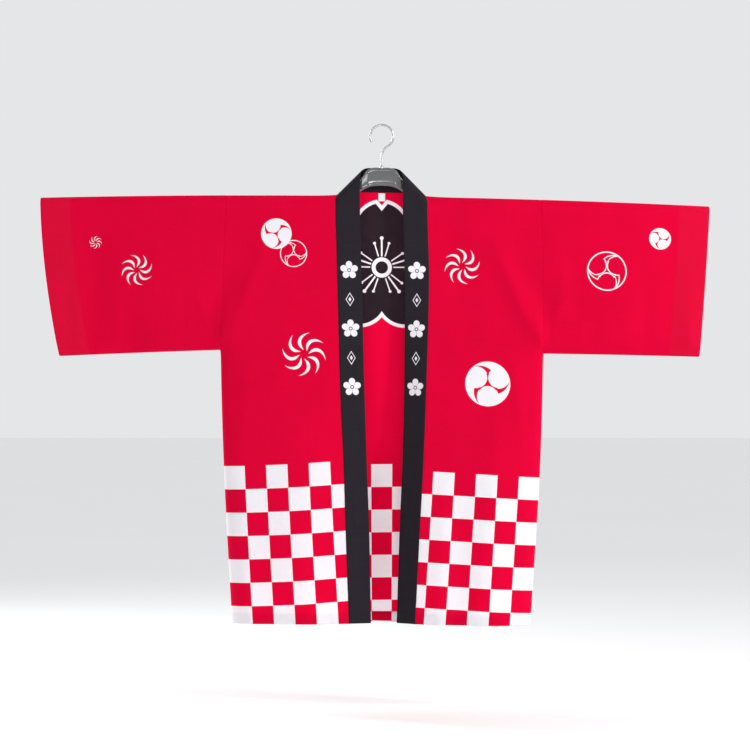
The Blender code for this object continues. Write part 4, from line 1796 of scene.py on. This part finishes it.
@dataclass
class Sleeve(ClothPiece):
    """One wide straight sleeve with a faced cuff.

    A column is the way round, from -1 at the underarm in front, over the top at 0, to 1 at the underarm
    behind. A row is the share of the way out from the armhole to the cuff.
    """

    form: HangingForm
    side: Side
    cloth: RedCloth
    prints: tuple[Print, ...]
    facing: float = 0.060
    stitched_within: float = 0.002
    spacing: float = 0.005
    closed = True
    nudge = (1e-3, 1e-3)

    def __post_init__(self) -> None:
        """Name the piece and its solid for their side, and work out the sleeve's length."""
        self.node = f"sleeve_{self.side.name.lower()}"
        self.name, self.outward = f"{self.node}_cloth", -float(self.side.value)
        self.cut = self.form.sleeves[self.side]
        self.length = self.cut.cuff - self.cut.armhole_top

    def low(self, row: float) -> float:
        """The sleeve's depth this share of the way out."""
        return mix(self.form.underarm_depth, self.cut.cuff_depth, row)

    def surface(self, column: float, row: float) -> Vector:
        """The point of the sleeve at a place."""
        face = Face.FRONT if column < 0 else Face.BACK
        return self.form.sleeve(self.side, face, max(row, 0.0), min(abs(column), 1.0))

    def cut_map(self, column: float, row: float) -> Pair:
        """The place on the flat cut.

        Args:
            column: The way round.
            row: The share of the way out.

        Returns:
            The way across the coat, and round the sleeve.
        """
        down = min(abs(column), 1.0)
        inner = self.form.side_edge(self.side, min(down, BELOW_ONE) * self.form.underarm_depth)
        return self.side.value * mix(inner, self.cut.cuff_distance(down), row), column * self.low(row)

    def print_map(self, column: float, row: float) -> Pair:
        """Distance in from the cuff's edge, and distance round the sleeve."""
        x, round_it = self.cut_map(column, row)
        return self.cut.cuff_distance(min(abs(column), 1.0)) - abs(x), round_it

    def room(self, column: float, row: float) -> float:
        """The share of a seam's turning that there is room for above the underarm."""
        return self.form.round_share(self.low(row) * (1 - abs(column)))

    def rows(self) -> list[Station]:
        """The rows from the armhole's turning to the end of the cuff's facing.

        Returns:
            The rows in order.
        """
        found = [Station(place / self.length, lift) for place, lift in SEAM_IN]
        start, end = 0.0075 / self.length, 1 - 0.0045 / self.length
        found += [Station(place) for place in steps(start, end, self.spacing / self.length)]
        for item in hem_stations(0.0, -1.0, self.facing, self.spacing * 1.5):
            cut = None if item.cut is None else 1 + item.cut / self.length
            found.append(Station(1 + item.place / self.length, item.lift, cut))
        return found

    def columns(self) -> list[Station]:
        """The columns round the sleeve, closer over the shoulder's roll and at the underarm.

        Returns:
            The columns in order.
        """
        low = self.form.underarm_depth
        quarter = self.form.roll * QUARTER
        places = steps(0.0, quarter, 0.0026) + steps(quarter, low - 0.030, self.spacing)
        places += [low - inset for inset in (0.030, 0.0255, 0.0210, 0.0170, 0.0130, 0.0095, 0.0065, 0.0040)]
        back = [Station(place / low) for place in [*places, low - 0.0022]]
        back += [Station((low - 0.0010) / low, -0.0003), Station(1.0)]
        return [Station(-item.place, item.lift) for item in reversed(back[1:])] + back

    def material(self) -> bpy.types.Material:
        """The red cloth with the sleeve's motifs and its cuff's facing."""
        trim = Trim(self.prints, facing=self.facing - self.stitched_within)
        return self.cloth.material(self.name, self.form, trim)


@dataclass
class CollarBand(ClothPiece):
    """The long band, folded double, from hem to hem round the neck.

    A column is the share of the way across from its seam to its free edge, and a row is the way along it
    from the left front's hem.
    """

    form: HangingForm
    cloth: BandCloth
    ply_lift: float = 0.0009
    wall: float = 0.0006
    slant_start: float = 0.110
    fine_above: float = 0.075
    spacing: float = 0.005
    name = "collar_band_cloth"
    node = "collar"
    slot = "black_cloth"
    nudge = (1e-3, 2e-4)

    def __post_init__(self) -> None:
        """Work out the stretch across the back of the neck and the whole length."""
        reach = self.form.fold_reach
        self.half = self.form.coat_length + reach
        self.bridge = (self.form.band(Side.RIGHT, 0.0, reach) - self.form.band(Side.LEFT, 0.0, reach)).length
        self.whole = 2 * self.half + self.bridge

    def slanted(self, side: Side, across: float, start: float) -> Vector:
        """Find a point on a row that slants along the fold.

        Args:
            side: The half of the coat.
            across: The share of the way across the band.
            start: Where the row starts on the seam.

        Returns:
            The point.
        """
        form = self.form
        slant = min(max((start + self.slant_start) / (self.slant_start - form.fold_reach), 0.0), 1.0)
        return form.band(side, across, start + slant * across * form.band_width)

    def surface(self, column: float, row: float) -> Vector:
        """The point of the band at a place.

        Args:
            column: The share of the way across.
            row: The way along.

        Returns:
            The point.
        """
        row = min(max(row, 0.0), self.whole)
        length = self.form.coat_length
        if row <= self.half:
            return self.slanted(Side.LEFT, column, row - length)
        if row >= self.whole - self.half:
            return self.slanted(Side.RIGHT, column, self.whole - row - length)
        left = self.slanted(Side.LEFT, column, self.form.fold_reach)
        right = self.slanted(Side.RIGHT, column, self.form.fold_reach)
        return left.lerp(right, (row - self.half) / self.bridge)

    def cut_map(self, column: float, row: float) -> Pair:
        """The place on the flat cut, across from the seam and along the band."""
        return column * self.form.band_width, row

    def room(self, column: float, row: float) -> float:
        """The share of the plies' distance, which close up at the band's ends."""
        return 0.35 + 0.65 * ramp(0.0, 0.0025, min(row, self.whole - row))

    def columns(self) -> list[Station]:
        """The columns round the band: the inner ply, the fold at the free edge, and the outer ply.

        Returns:
            The columns in order.
        """
        places = [(0.012, 0.75), (0.05, 1.0), *((place, 1.0) for place in steps(0.12, 0.95, 0.095))]
        places += [(0.962, 1.0), (0.984, 0.80), (0.996, 0.4)]
        outer = [Station(place, self.ply_lift * share, place) for place, share in reversed(places)]
        return [Station(item.place, -item.lift, -item.place) for item in reversed(outer)] + outer

    def rows(self) -> list[Station]:
        """The rows along the band, closer above the chest on both sides.

        Returns:
            The rows in order.
        """
        fine = self.half - self.fine_above
        places = [0.0, 0.0008, 0.0022, *steps(0.004, fine, self.spacing)]
        places += steps(fine, self.half, self.spacing / 2)
        far = self.whole - self.half
        bridge = [*steps(self.half, far, self.spacing), far]
        places += bridge + [self.whole - place for place in reversed(places)]
        return [Station(place) for place in places]

    def material(self) -> bpy.types.Material:
        """The black cloth with the band's small motifs."""
        return self.cloth.material(self.name, self.form, self.whole)


@dataclass
class NeckLabel(ClothPiece):
    """The small blank tape inside the back neck, sewn along its top and curling a little below.

    A column is the way across it from its middle, and a row is the depth.
    """

    form: HangingForm
    tape: WovenTape
    half_width: float = 0.0065
    top: float = 0.0008
    low: float = 0.0152
    inward: float = 0.0012
    curl: float = 0.0010
    bow: float = 0.0003
    wall: float = 0.00035
    hem: float = 0.0105
    hem_share: float = 0.4
    name = "neck_label_tape"
    node = "neck_label"
    slot = "white_tape"
    outward = -1.0

    def surface(self, column: float, row: float) -> Vector:
        """The point of the tape at a place, off the back's inner face.

        Args:
            column: The way across.
            row: The depth.

        Returns:
            The point.
        """
        point = self.form.back(column, self.form.side_edge(Side.RIGHT, row), row)
        loose = (row - self.top) / (self.low - self.top)
        bow = self.bow * math.cos(math.pi * column / self.half_width)
        return point - Vector((0.0, self.inward + self.curl * loose**2 + bow * loose, 0.0))

    def cut_map(self, column: float, row: float) -> Pair:
        """The place on the tape."""
        return column, row

    def rows(self) -> list[Station]:
        """The rows from the sewn top to the end of the turned hem's inner ply.

        Returns:
            The rows in order.
        """
        found = [Station(place) for place in steps(self.top, self.low, 0.0012)]
        for item in hem_stations(self.low, -1.0, self.hem, 0.0015)[1:]:
            found.append(Station(item.place, item.lift * self.hem_share, item.cut))
        return found

    def columns(self) -> list[Station]:
        """The columns from edge to edge."""
        half = self.half_width
        return [Station(place) for place in [*steps(-half, half, 0.0011), half]]

    def material(self) -> bpy.types.Material:
        """The white tape."""
        return self.tape.material(self.name)


@dataclass
class Hanger:
    """The plain hanger: a moulded neck plate, two level arms and a plated wire hook.

    The ferrule has its start and end from the plate's top and its size in wires, the bead its distance from
    the rim, width and height, the thinned part its start, length and share, and a groove its width and depth.
    """

    form: HangingForm
    plastic: MouldedPlastic
    wire: PlatedWire
    stations: tuple[float, ...] = (0.0, 0.018, 0.030, 0.038, 0.048, 0.058, 0.070, 0.085, 0.105, 0.145)
    lowers: tuple[float, ...] = (
        (0.0200, 0.0185, 0.0145, 0.0100, 0.0020, -0.0060, -0.0135, -0.0195, -0.0225, -0.0250)
    )
    uppers: tuple[float, ...] = (
        (0.0550, 0.0545, 0.0480, 0.0385, 0.0280, 0.0170, 0.0060, -0.0035, -0.0040, -0.0010)
    )
    depths: tuple[float, ...] = (0.0080,) * 8 + (0.0092, 0.0120)
    arm_radius: float = 0.0120
    arm_short_of_cuff: float = 0.045
    wire_radius: float = 0.0022
    hook_radius: float = 0.0222
    hook_lean: float = 60.0
    hook_end: float = 205.0
    ferrule: Triple = (-0.0040, 0.0032, 1.9)
    bead: Triple = (0.0042, 0.0014, 0.16)
    thinned: Triple = (0.0265, 0.0145, 0.44)
    plain: Pair = (0.046, 0.080)
    groove_places: Pair = (0.030, 0.038)
    groove: Pair = (0.0016, 0.07)
    sides: int = 56

    def tube(
        self, name: str, count: int, ring: Callable[[int, float], Vector], sides: int
    ) -> bpy.types.Object:
        """A closed tube from rings that are placed one by one.

        Args:
            name: The object's name.
            count: How many rings there are.
            ring: The point of a ring at an angle.
            sides: How many points a ring has.

        Returns:
            The object.
        """
        net = bmesh.new()
        bmesh.ops.create_grid(net, x_segments=sides, y_segments=count - 1, size=0.5)
        for vert in net.verts:
            column = round((vert.co.x + 0.5) * sides) % sides
            row = round((vert.co.y + 0.5) * (count - 1))
            vert.co = ring(row, 2 * math.pi * column / sides)
        bmesh.ops.remove_doubles(net, verts=net.verts, dist=1e-7)
        bmesh.ops.holes_fill(net, edges=[edge for edge in net.edges if edge.is_boundary])
        bmesh.ops.recalc_face_normals(net, faces=net.faces)
        return new_object(name, net)

    def make_yoke(self) -> bpy.types.Object:
        """The neck plate: a flat-faced moulding with a raised bead along both rims.

        Returns:
            The object.
        """
        lower = Curve(self.stations, self.lowers)
        upper = Curve(self.stations, self.uppers)
        deep = Curve(self.stations, self.depths)
        last = self.stations[-1]
        places = steps(-last, last, 0.0016) + [last]
        bead_in, bead_wide, bead_tall = self.bead
        thin_start, thin_length, thin_share = self.thinned

        def ring(row: int, angle: float) -> Vector:
            """A point of the plate's section.

            Args:
                row: Which ring.
                angle: The angle round it.

            Returns:
                The point.
            """
            x = places[row]
            far = abs(x)
            rise = math.copysign(abs(math.cos(angle)) ** 0.78, math.cos(angle))
            swell = math.copysign(abs(math.sin(angle)) ** 0.62, math.sin(angle))
            tall = upper.at(far) - lower.at(far)
            from_rim = (1 - abs(rise)) * tall / 2
            bead = 1 - bead_tall + bead_tall * math.exp(-(((from_rim - bead_in) / bead_wide) ** 2))
            bead *= 1 - thin_share * min(1.0, max(0.0, far - thin_start) / thin_length)
            y = deep.at(far) * swell * mix(bead, 1.0, ramp(*self.plain, far))
            z = self.form.shoulder(x) + mix(lower.at(far), upper.at(far), 0.5 + 0.5 * rise)
            return self.form.placed(x, y, z)

        return self.tube("hanger_yoke_plastic", len(places), ring, self.sides)

    def make_arm(self, side: Side) -> bpy.types.Object:
        """One arm: a level rod with two shallow grooves before its rounded end.

        Args:
            side: Which arm.

        Returns:
            The object.
        """
        start = self.stations[-1] + 0.0001
        end = self.form.sleeves[side].cuff - self.arm_short_of_cuff
        radius = self.arm_radius
        places = steps(start, end - radius, 0.004)
        sizes = [1.0] * len(places)
        for angle in range(0, 90, 6):
            places.append(end - radius * (1 - math.sin(math.radians(angle))))
            sizes.append(math.cos(math.radians(angle)))
        for index, place in enumerate(places):
            for groove in self.groove_places:
                off = (place - (end - groove)) / self.groove[0]
                sizes[index] *= 1 - self.groove[1] * math.exp(-(off**2))

        def ring(row: int, angle: float) -> Vector:
            """A point round the rod.

            Args:
                row: Which ring.
                angle: The angle round it.

            Returns:
                The point.
            """
            x = side.value * places[row]
            across = radius * sizes[row]
            z = self.form.shoulder(x) - self.form.roll + across * math.cos(angle)
            return self.form.placed(x, across * math.sin(angle), z)

        name = f"hanger_arm_{side.name.lower()}_plastic"
        return self.tube(name, len(places), ring, self.sides // 2)

    def make_hook(self) -> bpy.types.Object:
        """The hook: a stem in a small ferrule, a bend to one side, and a round over the rail.

        Returns:
            The object.
        """
        centre = self.form.hook_above_shoulder - self.hook_radius + self.wire_radius
        lean = math.radians(self.hook_lean)
        stem_top = centre - 2 * self.hook_radius * math.sin(lean)
        low, top, wide = self.ferrule
        line: list[tuple[float, float, float, float]] = []
        for place in steps(self.uppers[0] + low, stem_top, 0.001):
            line.append((0.0, place, 0.0, wide if place < self.uppers[0] + top else 1.0))
        for step in range(14):
            turn = math.pi - lean * step / 14
            x = self.hook_radius * (1 + math.cos(turn))
            line.append((x, stem_top + self.hook_radius * math.sin(turn), turn - math.pi, 1.0))
        for step in range(73):
            turn = mix(-lean, math.radians(self.hook_end), step / 72)
            x = self.hook_radius * math.cos(turn)
            line.append((x, centre + self.hook_radius * math.sin(turn), turn, 1.0))
        x, z, turn, _ = line[-1]
        for degrees in (20, 40, 60, 75, 85):
            past = self.wire_radius * math.sin(math.radians(degrees))
            size = math.cos(math.radians(degrees))
            line.append((x - past * math.sin(turn), z + past * math.cos(turn), turn, size))

        def ring(row: int, angle: float) -> Vector:
            """A point round the wire.

            Args:
                row: Which ring.
                angle: The angle round it.

            Returns:
                The point.
            """
            x, z, turn, size = line[row]
            off = self.wire_radius * size * math.cos(angle)
            y = self.wire_radius * size * math.sin(angle)
            return self.form.placed(x + off * math.cos(turn), y, z + off * math.sin(turn))

        return self.tube("hanger_hook_wire", len(line), ring, 20)

    def make(self) -> list[bpy.types.Object]:
        """Build and dress the hanger's four pieces.

        Returns:
            The pieces.
        """
        plastic = self.plastic.material("moulded_grey_plastic")
        yoke = self.make_yoke()
        dress(yoke, plastic, "grey_plastic", ["hanger_yoke"])
        made = [yoke]
        for side in Side:
            arm = self.make_arm(side)
            dress(arm, plastic, "grey_plastic", [f"hanger_arm_{side.name.lower()}"])
            made.append(arm)
        hook = self.make_hook()
        dress(hook, self.wire.material("plated_hook_wire"), "steel_wire", ["hanger_hook"])
        return made + [hook]


@dataclass(frozen=True)
class SoftLight:
    """A rectangular soft light that faces the coat's middle: its place, width and height, and power."""

    name: str
    place: Triple
    size: Pair
    power: float


@dataclass
class Studio:
    """A pale floor, plain soft light, and a level camera straight in front of the coat."""

    middle: Vector = field(default_factory=lambda: Vector((-0.013, 0.0, -0.478)))
    field_width: float = 1.44
    distance: float = 7.0
    sensor: float = 36.0
    floor_below: float = 0.16
    floor_half: float = 30.0
    floor_greys: tuple[Colour, Colour] = ((0.91, 0.91, 0.915), (0.93, 0.93, 0.935))
    surrounding: tuple[float, ...] = (0.98, 0.99, 1.0, 1.0)
    surrounding_strength: float = 0.80
    lights: tuple[SoftLight, ...] = (
        SoftLight("right_key_light", (2.4, -1.6, 0.6), (0.4, 1.3), 52.0),
        SoftLight("left_strip_light", (-1.36, -2.85, 0.4), (0.35, 1.3), 6.5),
        SoftLight("low_front_light", (0.5, -4.6, -0.9), (0.8, 0.25), 14.0),
        SoftLight("back_light", (-2.4, 1.8, 0.6), (0.4, 1.3), 52.0),
    )

    def add_camera(self) -> None:
        """Put the camera in front and make it the scene's."""
        data = bpy.data.cameras.new("view_camera")
        data.sensor_width = self.sensor
        data.lens = self.sensor * self.distance / self.field_width
        camera = bpy.data.objects.new("view_camera", data)
        camera.location = self.middle - Vector((0.0, self.distance, 0.0))
        camera.rotation_euler = (QUARTER, 0.0, 0.0)
        bpy.context.scene.collection.objects.link(camera)
        bpy.context.scene.camera = camera

    def add_floor(self, low: float) -> None:
        """Lay the floor a little below the hem.

        Args:
            low: The coat's lowest height.
        """
        net = bmesh.new()
        bmesh.ops.create_grid(net, x_segments=8, y_segments=8, size=self.floor_half)
        bmesh.ops.translate(net, verts=net.verts, vec=(0.0, 0.0, low - self.floor_below))
        floor = new_object("floor", net)
        graph = Graph("pale_floor")
        colour = graph.blend(graph.noise(graph.object_place(), 1.5, 2.0), *self.floor_greys)
        floor.data.materials.append(graph.finish(Base_Color=colour, Roughness=0.9))

    def add_light(self, light: SoftLight) -> None:
        """Add a light.

        Args:
            light: The light.
        """
        data = bpy.data.lights.new(light.name, "AREA")
        data.shape = "RECTANGLE"
        data.size, data.size_y = light.size
        data.energy = light.power
        lamp = bpy.data.objects.new(light.name, data)
        lamp.location = light.place
        lamp.rotation_euler = (self.middle - Vector(light.place)).to_track_quat("-Z", "Y").to_euler()
        bpy.context.scene.collection.objects.link(lamp)

    def add_world(self) -> None:
        """Surround the scene with plain white light."""
        world = bpy.data.worlds.new("plain_white")
        world.use_nodes = True
        background = world.node_tree.nodes["Background"]
        background.inputs["Color"].default_value = self.surrounding
        background.inputs["Strength"].default_value = self.surrounding_strength
        bpy.context.scene.world = world
        bpy.context.scene.view_settings.view_transform = "Standard"

    def make(self, low: float) -> None:
        """Set up the whole studio.

        Args:
            low: The coat's lowest height.
        """
        self.add_camera()
        self.add_floor(low)
        self.add_world()
        for light in self.lights:
            self.add_light(light)


FRONT_LEFT_PRINTS = (
    Print(Motif.COMMAS, Face.FRONT, -0.202, -0.072, 0.0292, -38.0, True),
    Print(Motif.COMMA_LINES, Face.FRONT, -0.169, -0.110, 0.0260),
    Print(Motif.WHIRL, Face.FRONT, -0.149, -0.303, 0.0436, 23.0, True),
)
FRONT_RIGHT_PRINTS = (
    Print(Motif.WHIRL, Face.FRONT, 0.154, -0.135, 0.0358, -20.0),
    Print(Motif.COMMAS, Face.FRONT, 0.203, -0.361, 0.0430),
)
LEFT_SLEEVE_PRINTS = (
    Print(Motif.WHIRL, Face.FRONT, -0.548, -0.089, 0.0126, 20.0, True),
    Print(Motif.WHIRL, Face.FRONT, -0.469, -0.142, 0.0313, -16.0),
    Print(Motif.COMMAS, Face.BACK, -0.502, -0.145, 0.0387, 60.0),
)
RIGHT_SLEEVE_PRINTS = (
    Print(Motif.COMMA_LINES, Face.FRONT, 0.431, -0.145, 0.0380, 0.0, True),
    Print(Motif.COMMAS, Face.FRONT, 0.533, -0.083, 0.0207, 25.0),
    Print(Motif.WHIRL, Face.BACK, 0.500, -0.085, 0.0336, -15.0),
    Print(Motif.COMMA_LINES, Face.BACK, 0.444, -0.130, 0.0300, 60.0),
)
BACK_PRINTS = (
    Print(Motif.COMMAS, Face.BACK, 0.221, -0.116, 0.0387),
    Print(Motif.WHIRL, Face.BACK, 0.177, -0.174, 0.0300, -18.0),
    Print(Motif.COMMAS, Face.BACK, 0.133, -0.287, 0.0290, 60.0),
    Print(Motif.COMMA_LINES, Face.BACK, -0.140, -0.285, 0.0300, -15.0),
    Print(Motif.COMMAS, Face.BACK, -0.181, -0.344, 0.0430, 60.0, True),
    Print(Motif.WHIRL, Face.BACK, -0.227, -0.205, 0.0340, -15.0),
)
# Depth of the checks' top beside each side seam and beside the band, and across the back from the right
LEFT_CHECK_TOP = (0.5262, 0.5155)
RIGHT_CHECK_TOP = (0.5428, 0.5336)
BACK_CHECK_TOPS = (0.5175, 0.5300)
# The height of a check on the back and on each front
BACK_CHECK, LEFT_CHECK, RIGHT_CHECK = 0.0441, 0.0447, 0.0436


def main() -> None:
    logging.basicConfig(level=logging.INFO, format="%(name)s: %(message)s")
    form = HangingForm()
    red = RedCloth()
    back = BackPanel(form, red, BACK_PRINTS, BACK_CHECK_TOPS, BACK_CHECK).make()
    left = FrontPanel(form, Side.LEFT, red, FRONT_LEFT_PRINTS, LEFT_CHECK_TOP, LEFT_CHECK, 1.7).make()
    right = FrontPanel(form, Side.RIGHT, red, FRONT_RIGHT_PRINTS, RIGHT_CHECK_TOP, RIGHT_CHECK).make()
    left_sleeve = Sleeve(form, Side.LEFT, red, LEFT_SLEEVE_PRINTS)
    right_sleeve = Sleeve(form, Side.RIGHT, red, RIGHT_SLEEVE_PRINTS)
    band = CollarBand(form, BandCloth())
    collar = band.make()
    label = NeckLabel(form, WovenTape()).make()
    hanger = Hanger(form, MouldedPlastic(), PlatedWire()).make()
    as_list(hanger[:3])
    for sleeve, arm in ((left_sleeve, hanger[1]), (right_sleeve, hanger[2])):
        sleeve.make()
    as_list(hanger[:3])
    Studio().make(CAD_BOX[0].z)


if __name__ == "__main__":
    main()
